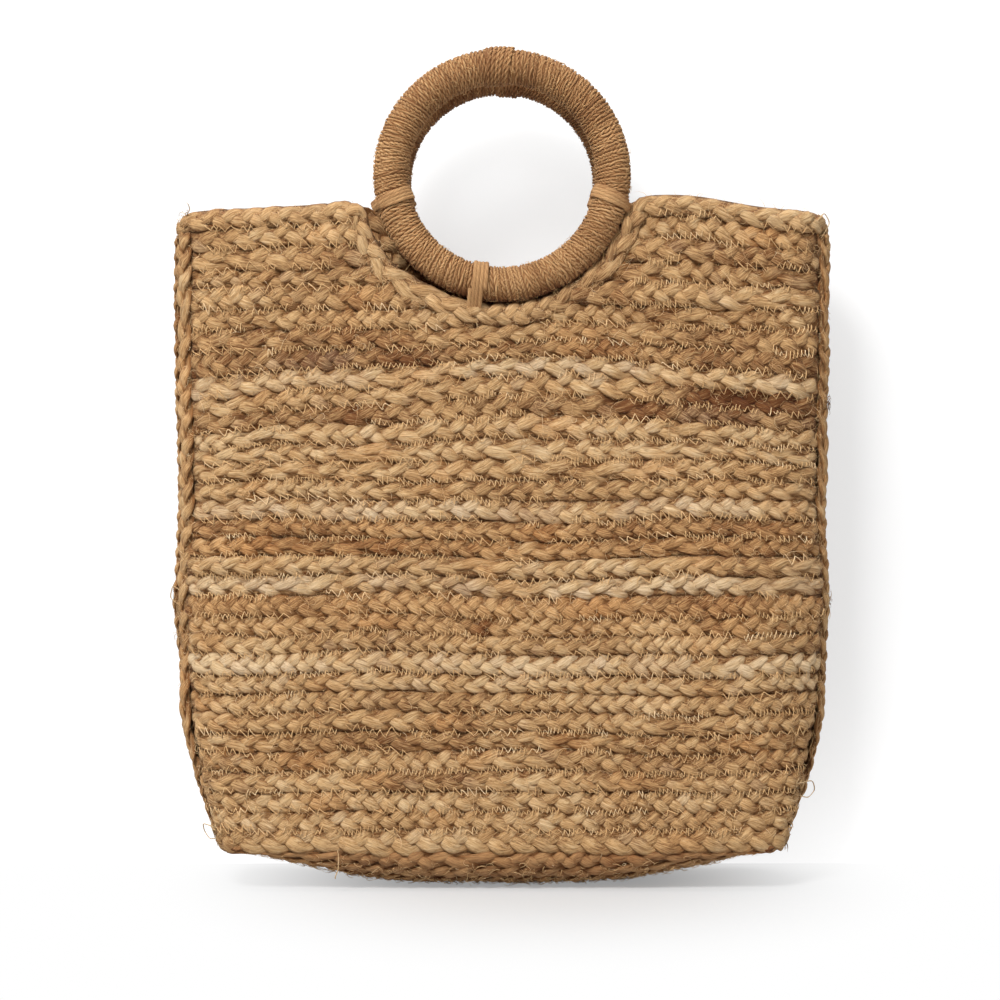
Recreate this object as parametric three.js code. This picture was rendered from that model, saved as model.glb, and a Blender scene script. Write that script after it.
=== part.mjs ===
// A jute tote bag. Flat three-strand braids are sewn row on row into two panels, each with a round
// hand notch. Three upright braids close each side as a gusset, and lengthwise rows sag as the base.
// Two hoops wound with twine stand in the notches as handles, held by lashings in which they rock.
// Millimetres, +Z up. The front faces -Y and the origin is on the floor under the middle of the bag.
import * as THREE from 'three';
import { mergeVertices } from 'three/addons/utils/BufferGeometryUtils.js';

// Braid
const rowPitch = 11.6; // from one sewn row to the next
const braidThick = 7; // wall over the crests of the braid
const seamDepth = 2.2; // the seam between two rows lies this far below the crests
const seamGap = 0.4; // clear gap between neighbouring bands
const crestWidth = 6; // flat crest of a base row, which the bag stands on
const bandRows = 2; // rows sewn together as one band
const fullRows = 27; // rows right across a panel, with the bottom edge braid as the first
const shoulderRows = 5; // rows cut short by the notch
const gussetBraids = 3;
const baseRows = 9;

// Panels, measured at the middle of the wall
const panelHalfWidth = 196;
const mouthHalfDepth = 18;
const baseHalfDepth = 42;
const taperHeight = 85; // the sides draw in below this height above the bottom edge
const taperDepth = 27.5; // by this much at the bottom edge
const cornerStretch = 0.7; // how far the side's rounding reaches along the panel at mid-height
const edgeSquareness = 5; // power of the rounding at the bottom edge, where 2 is an ellipse
const shoulderLift = 11; // the rim's top line rises towards the notch

// Base
const edgeHeight = 24; // bottom edge above the floor
const flatHalfLength = 25; // patch that lies on the floor
const flatHalfWidth = 23;
const risenHalfLength = 143; // past this the rows run level again, tucked up to the wall's lowest face
const thinHalfLength = 90; // past this the crests flatten
const endThinning = 0.5; // by this share at the ends
const baseSteps = 13; // an odd number, so that the middle step lies flat on the floor
const edgeClear = 0.7; // below the wall's lowest face
const endDrawIn = 5; // the outer base rows are this much shorter at each end

// Rim and notch
const notchRadius = 84;
const rimThick = 8;
const rimFlat = 4.4; // width of the rim's outer face
const cornerRadius = 14.8; // rounding of the notch's upper corners
const blockClear = 1.2; // from the rim to the short rows beside it

// Handles
const hoopRadius = 66.2; // middle of the tube
const woundRadius = 11; // over the twine
const turnDepth = 0.8; // groove between two turns
const coreRadius = 8.4;
const boreClear = 0.9; // between core and winding, which meet in real life
const hoopGap = 3.2; // from the notch's bottom to the hoop
const windingRibs = 48;
const spliceRibs = 6;
const spliceLength = 14.4; // overwrap along the top of the hoop
const spliceRise = 1.2; // over the winding
const woundSides = 8;

// Lashings
const sideLashing = -14; // degrees from the horizontal through the hoop's centre
const bottomLashing = -12.7; // degrees from the vertical below it
const strand = 1.6; // twine diameter
const strandPitch = 2.5;
const loops = 4.5;
const loopSteps = 12;
const lashingClear = 0.3; // inside the loops
const seatGap = 0.4; // between a strand's end and the rim
const upperSeat = 75; // degrees round the notch's corner where a side lashing's upper end sits
const seatOffset = 1.5; // each end from the middle of the rim's face
const seatSpread = 1.3; // the other ends sit this far past the last loop

const neckHeight = edgeHeight + fullRows * rowPitch;
const shoulderTop = neckHeight + shoulderRows * rowPitch;
const rimTop = shoulderTop + rowPitch;
const notchBottom = neckHeight + rowPitch;
const notchHeight = notchBottom + notchRadius;
const gussetHalf = (gussetBraids * rowPitch) / 2;
const rimHalf = (rowPitch - seamGap) / 2;
const degrees = Math.PI / 180;

const clamp = (value) => Math.min(1, Math.max(0, value));
const smooth = (value) => clamp(value) ** 2 * (3 - 2 * clamp(value));

// Half of the front at one height: straight from the middle, then round to the middle of the side
function planCurve(z) {
  const up = clamp((z - edgeHeight) / (rimTop - edgeHeight));
  const low = clamp((edgeHeight + taperHeight - z) / taperHeight);
  const halfWidth = panelHalfWidth - taperDepth * low ** 1.3;
  const halfDepth = mouthHalfDepth + (baseHalfDepth - mouthHalfDepth) * (1 - up) ** 1.3;
  const corner = halfDepth * (1 + cornerStretch * Math.sin(Math.PI * up));
  const power = 2 / (2 + (edgeSquareness - 2) * low ** 1.5);
  const points = [new THREE.Vector2(0, -halfDepth)];
  const samples = 24;
  for (let k = 0; k <= samples; k += 1) {
    const turn = ((k / samples) * Math.PI) / 2;
    const x = halfWidth - corner * (1 - Math.sin(turn) ** power);
    points.push(new THREE.Vector2(x, -halfDepth * Math.abs(Math.cos(turn)) ** power));
  }
  return points;
}

// Length from the middle of the front to the middle of the side
function reach(z) {
  const points = planCurve(z);
  return points.slice(1).reduce((sum, point, k) => sum + point.distanceTo(points[k]), 0);
}

// Point of the wall's middle surface, s along the row from the front's middle. Past the middle of
// the side it goes on round the other panel.
function wallMiddle(s, z) {
  const points = planCurve(z);
  const quarter = reach(z);
  const past = Math.abs(s) > quarter;
  let rest = past ? 2 * quarter - Math.abs(s) : Math.abs(s);
  let k = 1;
  while (k < points.length - 1 && rest > points[k].distanceTo(points[k - 1])) {
    rest -= points[k].distanceTo(points[k - 1]);
    k += 1;
  }
  const part = rest / points[k].distanceTo(points[k - 1]);
  const at = points[k - 1].clone().lerp(points[k], part);
  const lift = shoulderLift * smooth((z - neckHeight) / (rimTop - neckHeight));
  const height = z + lift * Math.max(0, 1 - Math.abs(s) / quarter);
  return new THREE.Vector3(Math.sign(s) * at.x, past ? -at.y : at.y, height);
}

// The same point moved outwards by d, on the level, so that the seams between the rows are level
function wallPoint(s, z, d) {
  const step = 0.5;
  const along = wallMiddle(s + step, z).sub(wallMiddle(s - step, z));
  const normal = new THREE.Vector3(along.y, -along.x, 0).normalize();
  return wallMiddle(s, z).addScaledVector(normal, d);
}

// Point of the base, u from end to end and v the length across it from the middle row
function baseMiddle(u, v) {
  const halfAcross = (baseRows * rowPitch) / 2;
  const turn = (clamp((Math.abs(v) - flatHalfWidth) / (halfAcross - flatHalfWidth)) * Math.PI) / 2;
  const flat = Math.min(Math.abs(v), flatHalfWidth);
  const y = flat + (baseHalfDepth - flatHalfWidth) * Math.sin(turn);
  const halfLength = panelHalfWidth - taperDepth;
  const x = u * (halfLength - endDrawIn * Math.abs(v / halfAcross) ** 6);
  const out = clamp((Math.abs(x) - flatHalfLength) / (risenHalfLength - flatHalfLength));
  const endRise = (edgeHeight - braidThick - edgeClear) * out ** 2;
  const sideRise = edgeHeight - braidThick / 2 - edgeClear;
  const z = braidThick / 2 + sideRise * (1 - Math.cos(turn)) + endRise * Math.cos(turn);
  return new THREE.Vector3(x, Math.sign(v) * y, z);
}

function basePoint(u, v, d) {
  const halfAcross = (baseRows * rowPitch) / 2;
  const u0 = Math.max(-0.99, Math.min(0.99, u));
  const v0 = Math.max(0.5 - halfAcross, Math.min(halfAcross - 0.5, v));
  const along = baseMiddle(u0 + 0.01, v0).sub(baseMiddle(u0 - 0.01, v0));
  const across = baseMiddle(u0, v0 + 0.5).sub(baseMiddle(u0, v0 - 0.5));
  const at = baseMiddle(u, v);
  const thin = clamp((Math.abs(at.x) - thinHalfLength) / (risenHalfLength - thinHalfLength));
  const depth = d > 0 ? d * (1 - endThinning * thin) : d;
  return at.addScaledVector(across.cross(along).normalize(), depth);
}

// Section of a band of sewn rows: flat inside, a crest for each row outside
function bandShape(rows, crest = 0) {
  const inside = -braidThick / 2;
  const outside = braidThick / 2;
  const low = seamGap / 2;
  const high = rows * rowPitch - seamGap / 2;
  const shape = new THREE.Shape().moveTo(low, inside).lineTo(high, inside);
  shape.lineTo(high, outside - seamDepth);
  for (let row = rows - 1; row >= 0; row -= 1) {
    const middle = (row + 0.5) * rowPitch;
    if (crest > 0) shape.lineTo(middle + crest / 2, outside);
    shape.lineTo(middle - crest / 2, outside);
    shape.lineTo(row === 0 ? low : row * rowPitch, outside - seamDepth);
  }
  return shape;
}

// Straight band laid on a curved surface: place() takes across, outwards and the share of length
function laidBand(shape, steps, place) {
  const geometry = new THREE.ExtrudeGeometry(shape, { depth: 1, steps, bevelEnabled: false });
  return reshaped(geometry, place);
}

function reshaped(geometry, place) {
  const bare = geometry.clone();
  bare.deleteAttribute('normal');
  bare.deleteAttribute('uv');
  const position = bare.getAttribute('position');
  for (let k = 0; k < position.count; k += 1) {
    const at = place(position.getX(k), position.getY(k), position.getZ(k));
    position.setXYZ(k, at.x, at.y, at.z);
  }
  const merged = mergeVertices(bare, 1e-4);
  merged.computeVertexNormals();
  return merged;
}

// Share of the length, with the steps drawn together at both ends
function toEnds(t) {
  const from = 2 * t - 1;
  return (1 + Math.sign(from) * (1 - (1 - Math.abs(from)) ** 1.8)) / 2;
}

const seam = (z) => reach(z) - gussetHalf - seamGap / 2;
const notchSide = (z) => Math.sqrt((notchRadius + rowPitch + blockClear) ** 2 - (notchHeight - z) ** 2);

function fullBand(firstRow, rows) {
  const bottom = edgeHeight + (firstRow - 1) * rowPitch;
  return laidBand(bandShape(rows), 8, (across, out, t) => {
    const z = bottom + across;
    return wallPoint(seam(z) * (2 * toEnds(t) - 1), z, out);
  });
}

// The short rows between a gusset and the notch: a slab whose outer face has a crest for each row
function shoulder(side) {
  const lengths = 5;
  const halfRows = 2 * shoulderRows;
  const height = shoulderRows * rowPitch - seamGap;
  const slab = new THREE.BoxGeometry(lengths, halfRows, 1, lengths, halfRows, 1);
  return reshaped(slab, (along, up, out) => {
    const line = up + halfRows / 2;
    const z = neckHeight + seamGap / 2 + (height * line) / halfRows;
    const depth = out > 0 && line % 2 === 0 ? seamDepth : 0;
    const share = 0.5 + (side * along) / lengths;
    const s = notchSide(z) + (seam(z) - notchSide(z)) * share;
    return wallPoint(side * s, z, out * braidThick - depth);
  });
}

// Upright braid with its stations level with the bands' seams
function gussetBraid(side, index) {
  const first = index * rowPitch - gussetHalf;
  const allRows = fullRows + shoulderRows;
  const steps = Math.ceil((allRows + 1) / bandRows);
  return laidBand(bandShape(1), steps, (across, out, t) => {
    const row = Math.min(allRows, Math.max(0, bandRows * Math.round(t * steps) - 1));
    const inset = t === 0 ? seamGap / 2 : t === 1 ? -seamGap / 2 : 0;
    const z = edgeHeight + row * rowPitch + inset;
    return wallPoint(side * reach(z) - first - across, z, out);
  });
}

function baseBand(firstRow, rows) {
  const first = (firstRow - 1 - baseRows / 2) * rowPitch;
  return laidBand(bandShape(rows, crestWidth), baseSteps, (across, out, t) => {
    return basePoint(1 - 2 * toEnds(t), first + across, out);
  });
}

// The rim's corner: a circle that touches the rim's top line and the notch
const rimLine = shoulderTop + rowPitch / 2;
const rimBend = cornerRadius - rimHalf;
const rimCornerZ = rimLine - rimBend;
const rimCornerX = Math.sqrt((notchRadius + cornerRadius) ** 2 - (notchHeight - rimCornerZ) ** 2);
const rimTurn = Math.atan2(notchHeight - rimCornerZ, rimCornerX);

// Middle line of the rim in the panel's plane, laid flat: x along the row and y up
class RimLine extends THREE.Curve {
  getPoint(t, target = new THREE.Vector3()) {
    const steps = [8, 3, 16, 3, 8];
    let rest = t * steps.reduce((sum, count) => sum + count, 0);
    let piece = 0;
    while (piece < steps.length - 1 && rest > steps[piece]) {
      rest -= steps[piece];
      piece += 1;
    }
    const part = rest / steps[piece];
    const end = reach(rimLine) - seamGap / 2;
    const arc = (x, z, radius, from, to) => {
      const turn = from + (to - from) * part;
      return target.set(x + radius * Math.cos(turn), z + radius * Math.sin(turn), 0);
    };
    const quarter = Math.PI / 2;
    if (piece === 0) return target.set(-end + (end - rimCornerX) * part, rimLine, 0);
    if (piece === 1) return arc(-rimCornerX, rimCornerZ, rimBend, quarter, rimTurn);
    if (piece === 2) {
      return arc(0, notchHeight, notchRadius + rimHalf, -2 * quarter + rimTurn, -rimTurn);
    }
    if (piece === 3) return arc(rimCornerX, rimCornerZ, rimBend, 2 * quarter - rimTurn, quarter);
    return target.set(rimCornerX + (end - rimCornerX) * part, rimLine, 0);
  }

  // The stations follow the pieces and not the length
  getUtoTmapping(u) {
    return u;
  }
}

function rimBraid() {
  const section = new THREE.Shape([
    new THREE.Vector2(-rimFlat / 2, rimHalf),
    new THREE.Vector2(-rimThick / 2, 0),
    new THREE.Vector2(-rimFlat / 2, -rimHalf),
    new THREE.Vector2(rimFlat / 2, -rimHalf),
    new THREE.Vector2(rimThick / 2, 0),
    new THREE.Vector2(rimFlat / 2, rimHalf),
  ]);
  const flat = new THREE.ExtrudeGeometry(section, { steps: 38, extrudePath: new RimLine() });
  return reshaped(flat, (x, y, z) => wallPoint(x, y, z));
}

// The hoop stands in the panel's plane at the mouth
const hoopOuter = hoopRadius + woundRadius;
const hoopHeight = wallMiddle(0, notchBottom).z + hoopGap + hoopOuter;
const hoopCentre = new THREE.Vector3(0, -mouthHalfDepth, hoopHeight);

// Ribbed skin of turns along part of the hoop, open round the core
function woundSleeve(from, to, ribs, crest) {
  const positions = [];
  const rings = [];
  const ring = (share, radius) => {
    const angle = from + (to - from) * share;
    rings.push(positions.length / 3);
    for (let k = 0; k < woundSides; k += 1) {
      const turn = (2 * Math.PI * k) / woundSides;
      const out = hoopRadius + radius * Math.cos(turn);
      positions.push(out * Math.cos(angle), radius * Math.sin(turn), out * Math.sin(angle));
    }
  };
  for (let k = 0; k <= 2 * ribs; k += 1) ring(k / (2 * ribs), k % 2 ? crest : crest - turnDepth);
  for (let k = ribs / 2; k >= 0; k -= 1) ring(k / (ribs / 2), coreRadius + boreClear);
  const faces = [];
  rings.forEach((a, index) => {
    const b = rings[(index + 1) % rings.length];
    for (let k = 0; k < woundSides; k += 1) {
      const n = (k + 1) % woundSides;
      faces.push(a + k, b + n, b + k, a + k, a + n, b + n);
    }
  });
  const geometry = new THREE.BufferGeometry();
  geometry.setAttribute('position', new THREE.Float32BufferAttribute(positions, 3));
  geometry.setIndex(faces);
  geometry.computeVertexNormals();
  return geometry;
}

const spliceHalf = spliceLength / 2 / hoopRadius;
const spliceEnd = spliceHalf + seamGap / hoopRadius;

function hoopCore() {
  return new THREE.TorusGeometry(hoopRadius, coreRadius, woundSides, 32).rotateX(Math.PI / 2);
}

const hoopWinding = () => {
  return woundSleeve(Math.PI / 2 + spliceEnd, (Math.PI * 5) / 2 - spliceEnd, windingRibs, woundRadius);
};

const hoopSplice = () => {
  const top = Math.PI / 2;
  return woundSleeve(top - spliceHalf, top + spliceHalf, spliceRibs, woundRadius + spliceRise);
};

// Where a lashing's end meets the rim: a point on its outer face and the direction out of it
function cornerSeat(side, angle, outwards) {
  const x = rimCornerX - cornerRadius * Math.cos(angle * degrees);
  const z = rimCornerZ + cornerRadius * Math.sin(angle * degrees);
  const normal = new THREE.Vector3(-side * Math.cos(angle * degrees), 0, Math.sin(angle * degrees));
  return { at: wallPoint(side * x, z, outwards), normal };
}

// The same on the notch, where the line from the hoop's centre at this angle meets it
function notchSeat(angle, outwards) {
  const onNotch = (turn) => [notchRadius * Math.cos(turn), notchHeight + notchRadius * Math.sin(turn)];
  let turn = angle;
  for (let pass = 0; pass < 20; pass += 1) {
    const at = wallMiddle(...onNotch(turn));
    const miss = angle - Math.atan2(at.z - hoopHeight, at.x);
    turn += miss - 2 * Math.PI * Math.round(miss / (2 * Math.PI));
  }
  const normal = new THREE.Vector3(-Math.cos(turn), 0, -Math.sin(turn));
  return { at: wallPoint(...onNotch(turn), outwards), normal };
}

// Least clear distance of a tube to itself, measured between points along its middle line
function leastGap(curve, diameter) {
  const points = curve.getPoints(600);
  const apart = 3 * diameter;
  let least = Infinity;
  points.forEach((a, i) => {
    let along = 0;
    for (let j = i + 1; j < points.length; j += 1) {
      along += points[j].distanceTo(points[j - 1]);
      if (along > apart) least = Math.min(least, a.distanceTo(points[j]));
    }
  });
  return least - diameter;
}

// One unbroken strand: from the first seat, round the hoop loop by loop, to the second seat
function lashing(name, angle, seats) {
  const sag = 1 - Math.cos(Math.PI / loopSteps);
  const radius = (woundRadius + lashingClear + strand / 2) / (1 - sag);
  const half = (loops * strandPitch) / 2;
  const count = loops * loopSteps;
  const around = (share) => {
    const at = angle + ((2 * share - 1) * half) / hoopRadius;
    const radial = new THREE.Vector3(Math.cos(at), 0, Math.sin(at));
    const turn = Math.PI / 2 + 2 * Math.PI * loops * share;
    const point = hoopCentre.clone().addScaledVector(radial, hoopRadius + radius * Math.cos(turn));
    point.y += radius * Math.sin(turn);
    return { point, radial };
  };
  const tail = (start, seat) => {
    const end = seat.at.clone().addScaledVector(seat.normal, seatGap);
    const straight = end.clone().addScaledVector(seat.normal, strand);
    const span = start.point.distanceTo(straight);
    const leave = start.point.clone().addScaledVector(start.radial, 0.75 * span);
    const arrive = straight.clone().addScaledVector(seat.normal, 0.1 * span);
    const bend = new THREE.CubicBezierCurve3(start.point, leave, arrive, straight);
    return [...bend.getPoints(5).slice(1), end];
  };
  const points = tail(around(0), seats[0]).reverse();
  for (let k = 0; k <= count; k += 1) points.push(around(k / count).point);
  points.push(...tail(around(1), seats[1]));
  const curve = new THREE.CatmullRomCurve3(points);
  curve.getUtoTmapping = (u) => u;
  console.log(`${name}: least gap to itself ${leastGap(curve, strand).toFixed(2)} mm`);
  const section = new THREE.Shape();
  section.setFromPoints([0, 1, 2, 3, 4].map((k) => {
    const turn = (2 * Math.PI * k) / 5;
    return new THREE.Vector2(Math.cos(turn), Math.sin(turn)).multiplyScalar(strand / 2);
  }));
  const tube = new THREE.ExtrudeGeometry(section, { steps: points.length - 1, extrudePath: curve });
  return reshaped(tube, (x, y, z) => new THREE.Vector3(x, y, z));
}

const jute = { color: 0xb58f5c, roughness: 0.95, metalness: 0 };
const paleJute = { color: 0xc4a273, roughness: 0.95, metalness: 0 };
const rimJute = { color: 0xc09a66, roughness: 0.95, metalness: 0 };
const shadedJute = { color: 0x9a7448, roughness: 0.95, metalness: 0 };
const twine = { color: 0xa9825a, roughness: 0.9, metalness: 0 };
const cane = { color: 0xc9b184, roughness: 0.6, metalness: 0 };

function piece(name, geometry, look) {
  const mesh = new THREE.Mesh(geometry, new THREE.MeshStandardMaterial(look));
  mesh.name = name;
  return mesh;
}

const twoDigits = (number) => String(number).padStart(2, '0');

// One panel with its rim, handle and lashings. Left and right are the bag's, seen from the front.
function panel(face, left, right) {
  const group = new THREE.Group();
  group.add(piece(`${face}_bottom_edge_braid`, fullBand(1, 1), paleJute));
  for (let row = 2; row <= fullRows; row += bandRows) {
    const last = Math.min(row + bandRows - 1, fullRows);
    const name = `${face}_braid_rows_${twoDigits(row)}_${twoDigits(last)}`;
    group.add(piece(name, fullBand(row, last - row + 1), row % 4 ? jute : paleJute));
  }
  group.add(piece(`${face}_${left}_shoulder_rows`, shoulder(-1), jute));
  group.add(piece(`${face}_${right}_shoulder_rows`, shoulder(1), jute));
  group.add(piece(`${face}_rim_braid`, rimBraid(), rimJute));

  const hoop = new THREE.Group();
  hoop.position.copy(hoopCentre);
  hoop.add(piece(`${face}_handle_hoop_core`, hoopCore(), cane));
  hoop.add(piece(`${face}_handle_twine_winding`, hoopWinding(), twine));
  hoop.add(piece(`${face}_handle_twine_splice`, hoopSplice(), twine));
  group.add(hoop);

  const below = (bottomLashing - 90) * degrees;
  const rightAngle = sideLashing * degrees;
  const leftAngle = Math.PI - rightAngle;
  const past = ((loops * strandPitch) / 2 + seatSpread) / hoopRadius;
  const leftSeats = [cornerSeat(-1, upperSeat, -seatOffset), notchSeat(leftAngle + past, seatOffset)];
  const rightSeats = [notchSeat(rightAngle - past, -seatOffset), cornerSeat(1, upperSeat, seatOffset)];
  const bottomSeats = [notchSeat(below - past, -seatOffset), notchSeat(below + past, seatOffset)];
  const leftName = `${face}_${left}_lashing`;
  const rightName = `${face}_${right}_lashing`;
  const bottomName = `${face}_bottom_lashing`;
  group.add(piece(leftName, lashing(leftName, leftAngle, leftSeats), twine));
  group.add(piece(rightName, lashing(rightName, rightAngle, rightSeats), twine));
  group.add(piece(bottomName, lashing(bottomName, below, bottomSeats), twine));
  return group;
}

const bag = new THREE.Group();
bag.add(panel('front', 'left', 'right'));
const back = panel('back', 'right', 'left');
back.rotation.z = Math.PI;
bag.add(back);

['front', 'middle', 'back'].forEach((place, index) => {
  bag.add(piece(`left_gusset_${place}_braid`, gussetBraid(-1, index), jute));
  bag.add(piece(`right_gusset_${place}_braid`, gussetBraid(1, gussetBraids - 1 - index), jute));
});

const baseNames = ['front_outer', 'front_inner', 'centre', 'back_inner', 'back_outer'];
const baseFirst = [1, 3, 5, 6, 8];
baseNames.forEach((place, index) => {
  const rows = place === 'centre' ? 1 : 2;
  bag.add(piece(`base_${place}_rows`, baseBand(baseFirst[index], rows), shadedJute));
});

export default bag;
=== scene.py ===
"""A jute tote bag: flat braids sewn row on row, and two hoops wound with twine as its handles.

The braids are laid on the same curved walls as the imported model. The shaping functions work in
millimetres, because the sizes of a braid are easiest to read so, and a finished piece is in metres.
The front faces -Y. The back panel is the front turned half round the upright axis, with its own
chances for every strand.
"""

import math

import bmesh
import bpy
import numpy as np
from bpy.props import (
    BoolProperty,
    FloatProperty,
    FloatVectorProperty,
    IntProperty,
    PointerProperty,
)
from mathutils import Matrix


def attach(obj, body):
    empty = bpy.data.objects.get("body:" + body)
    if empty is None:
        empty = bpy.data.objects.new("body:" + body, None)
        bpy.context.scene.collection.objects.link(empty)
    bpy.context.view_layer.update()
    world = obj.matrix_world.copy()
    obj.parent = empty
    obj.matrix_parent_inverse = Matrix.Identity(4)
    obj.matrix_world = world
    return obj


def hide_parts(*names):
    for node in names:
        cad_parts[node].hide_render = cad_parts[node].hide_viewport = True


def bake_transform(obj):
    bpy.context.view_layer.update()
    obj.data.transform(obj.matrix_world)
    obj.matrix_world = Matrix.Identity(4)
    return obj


bl_info = {
    "name": "Jute Tote Bag",
    "version": (1, 0, 0),
    "blender": (4, 5, 0),
    "location": "View3D > Sidebar > Jute Tote",
    "description": "Braided jute tote bag with two twine-wound hoop handles",
    "category": "Object",
}

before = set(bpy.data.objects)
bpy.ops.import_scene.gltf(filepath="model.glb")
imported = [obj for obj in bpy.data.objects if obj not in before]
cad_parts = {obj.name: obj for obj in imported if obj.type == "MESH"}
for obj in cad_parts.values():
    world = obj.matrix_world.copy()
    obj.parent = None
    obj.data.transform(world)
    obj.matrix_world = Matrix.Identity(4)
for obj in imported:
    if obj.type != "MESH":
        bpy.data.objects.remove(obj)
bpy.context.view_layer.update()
MM = 0.001

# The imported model's own sizes, in millimetres
ROW = 11.6
FULL_ROWS = 27
SHORT_ROWS = 5
BASE_ROWS = 9
HALF_WIDTH = 196.0
MOUTH_DEPTH = 18.0
BASE_DEPTH = 42.0
TAPER_HEIGHT = 85.0
TAPER = 27.5
SQUARENESS = 5.0
LIFT = 11.0
EDGE = 24.0
FLAT_LENGTH = 25.0
RISEN_LENGTH = 143.0
THIN_LENGTH = 90.0
BASE_RISE = 16.3
WALL = 7.0
NOTCH = 84.0
CORNER = 14.8
HOOP = 66.2
WOUND = 11.0
NECK = EDGE + FULL_ROWS * ROW
SHOULDER = NECK + SHORT_ROWS * ROW
RIM_LINE = SHOULDER + ROW / 2
RIM_TOP = SHOULDER + ROW
NOTCH_Z = NECK + ROW + NOTCH
HOOP_CENTRE = np.array([0.0, -MOUTH_DEPTH, 430.0])
FRONT = np.array([0.0, -1.0, 0.0])
GUSSET = 1.5 * ROW

# Heights between two lines of the walls' table
HEIGHT_STEP = 1.5

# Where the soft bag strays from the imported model: the hoops a little wider than high, the base
# rounder, and the notches off the middle, the front's eased away from its hoop
WIDER = np.array([1.018, 1.0, 1.0])
FLAT_WIDTH = 14.0
NOTCH_SHIFT = (-2.0, 1.2)
FRONT_EASE = 5.4
# How far the left and the right gusset sit towards the back
GUSSET_BACK = {-1: 0.5, 1: 6.0}
# How far the soft sides bulge at each height
BULGE = (
    (24, 0), (110, -1.6), (134, -1.0), (171, 1.5), (232, -1.6), (293, 0.9), (354, 1.5), (413, 0)
)
# The rows fan out under the notch: how far, and the fan's middle and half width
FAN = 15.0
FAN_MIDDLE = (8.0, 300.0)
FAN_REACH = 215.0
# The front's right shoulder stands higher: how much, and the middle and half length of the rise
RAISED = 5.6
RAISED_MIDDLE = 112.0
RAISED_LENGTH = 35.0
# A dent in both panels: how deep, its middle, half length and half height
DENT = 4.5
DENT_MIDDLE = (146.0, 297.0)
DENT_SIZE = (32.0, 4.6)


# Shaping helpers


def clamp(value):
    return np.clip(value, 0.0, 1.0)


def smooth(value):
    held = clamp(value)
    return held * held * (3.0 - 2.0 * held)


def stacked(*parts):
    """Points or vectors from their x, y and z"""
    return np.stack(parts, axis=-1)


def unit(vectors):
    return vectors / np.maximum(np.linalg.norm(vectors, axis=-1, keepdims=True), 1e-9)


def ripples(chance, at):
    """Draws smooth lines round zero, with no fixed repeat, at the given places"""

    def ripple(wave, size):
        """One line, about as long as wave from crest to crest"""
        total = np.zeros(len(at))
        for _ in range(3):
            length = wave * chance.uniform(0.6, 1.7)
            total += np.sin(math.tau * at / length + chance.uniform(0, math.tau))
        return total * size / 1.8

    return ripple


def run_of(x, y):
    """How far each point of a flat line lies along it"""
    return np.concatenate([[0.0], np.cumsum(np.hypot(np.diff(x), np.diff(y)))])


def plan_curve(z):
    """Half of the front wall's line at one height, from the front's middle to the side's middle"""
    up = clamp((z - EDGE) / (RIM_TOP - EDGE))
    low = clamp((EDGE + TAPER_HEIGHT - z) / TAPER_HEIGHT)
    width = HALF_WIDTH - TAPER * low**1.3
    depth = MOUTH_DEPTH + (BASE_DEPTH - MOUTH_DEPTH) * (1 - up) ** 1.3
    corner = depth * (1 + 0.7 * math.sin(math.pi * up))
    power = 2 / (2 + (SQUARENESS - 2) * low**1.5)
    turn = np.linspace(0, math.pi / 2, 97) ** 1.4 / (math.pi / 2) ** 0.4
    x = width - corner * (1 - np.sin(turn) ** power)
    y = -depth * np.abs(np.cos(turn)) ** power
    return np.concatenate([[0.0], x]), np.concatenate([[-depth], y])


class WallTable:
    """Middle surface of the walls, read off a table of height and share of the row"""

    def __init__(self):
        self.heights = np.arange(8.0, 430.0, HEIGHT_STEP)
        self.shares = np.linspace(0, 1, 161)
        self.reaches = np.zeros(len(self.heights))
        self.lines = np.zeros((len(self.heights), len(self.shares), 2))
        for i, z in enumerate(self.heights):
            x, y = plan_curve(z)
            run = run_of(x, y)
            self.reaches[i] = run[-1]
            at = self.shares * run[-1]
            self.lines[i] = stacked(np.interp(at, run, x), np.interp(at, run, y))

    def reach(self, z):
        return np.interp(z, self.heights, self.reaches)

    def middle(self, s, z):
        quarter = self.reach(z)
        share = np.abs(s) / quarter
        past = share > 1
        share = clamp(np.where(past, 2 - share, share)) * (len(self.shares) - 1)
        row = np.clip((z - self.heights[0]) / HEIGHT_STEP, 0, len(self.heights) - 1.001)
        i = row.astype(int)
        j = np.minimum(share.astype(int), len(self.shares) - 2)
        down, along = (row - i)[..., None], (share - j)[..., None]
        low = self.lines[i, j] * (1 - along) + self.lines[i, j + 1] * along
        high = self.lines[i + 1, j] * (1 - along) + self.lines[i + 1, j + 1] * along
        flat = low * (1 - down) + high * down
        lift = LIFT * smooth((z - NECK) / (RIM_TOP - NECK))
        height = z + lift * np.maximum(0, 1 - np.abs(s) / quarter)
        x = np.sign(s) * flat[..., 0] * (1 + np.interp(z, *zip(*BULGE)) / HALF_WIDTH)
        y = np.where(past, -flat[..., 1], flat[..., 1])
        return stacked(x, y, height)

    def point(self, s, z, out):
        """The same point moved outwards on the level"""
        s, z, out = np.broadcast_arrays(
            np.asarray(s, float), np.asarray(z, float), np.asarray(out, float)
        )
        along = self.middle(s + 0.5, z) - self.middle(s - 0.5, z)
        level = unit(stacked(along[..., 1], -along[..., 0]))
        at = self.middle(s, z)
        at[..., :2] += level * out[..., None]
        return at


WALLS = WallTable()


def seam_side(z, way, turned):
    """Where a row ends, at the panel's own left (-1) or right (1)"""
    shift = -GUSSET_BACK[-way] if turned else GUSSET_BACK[way]
    return float(WALLS.reach(z)) - GUSSET - 0.2 + shift


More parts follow.
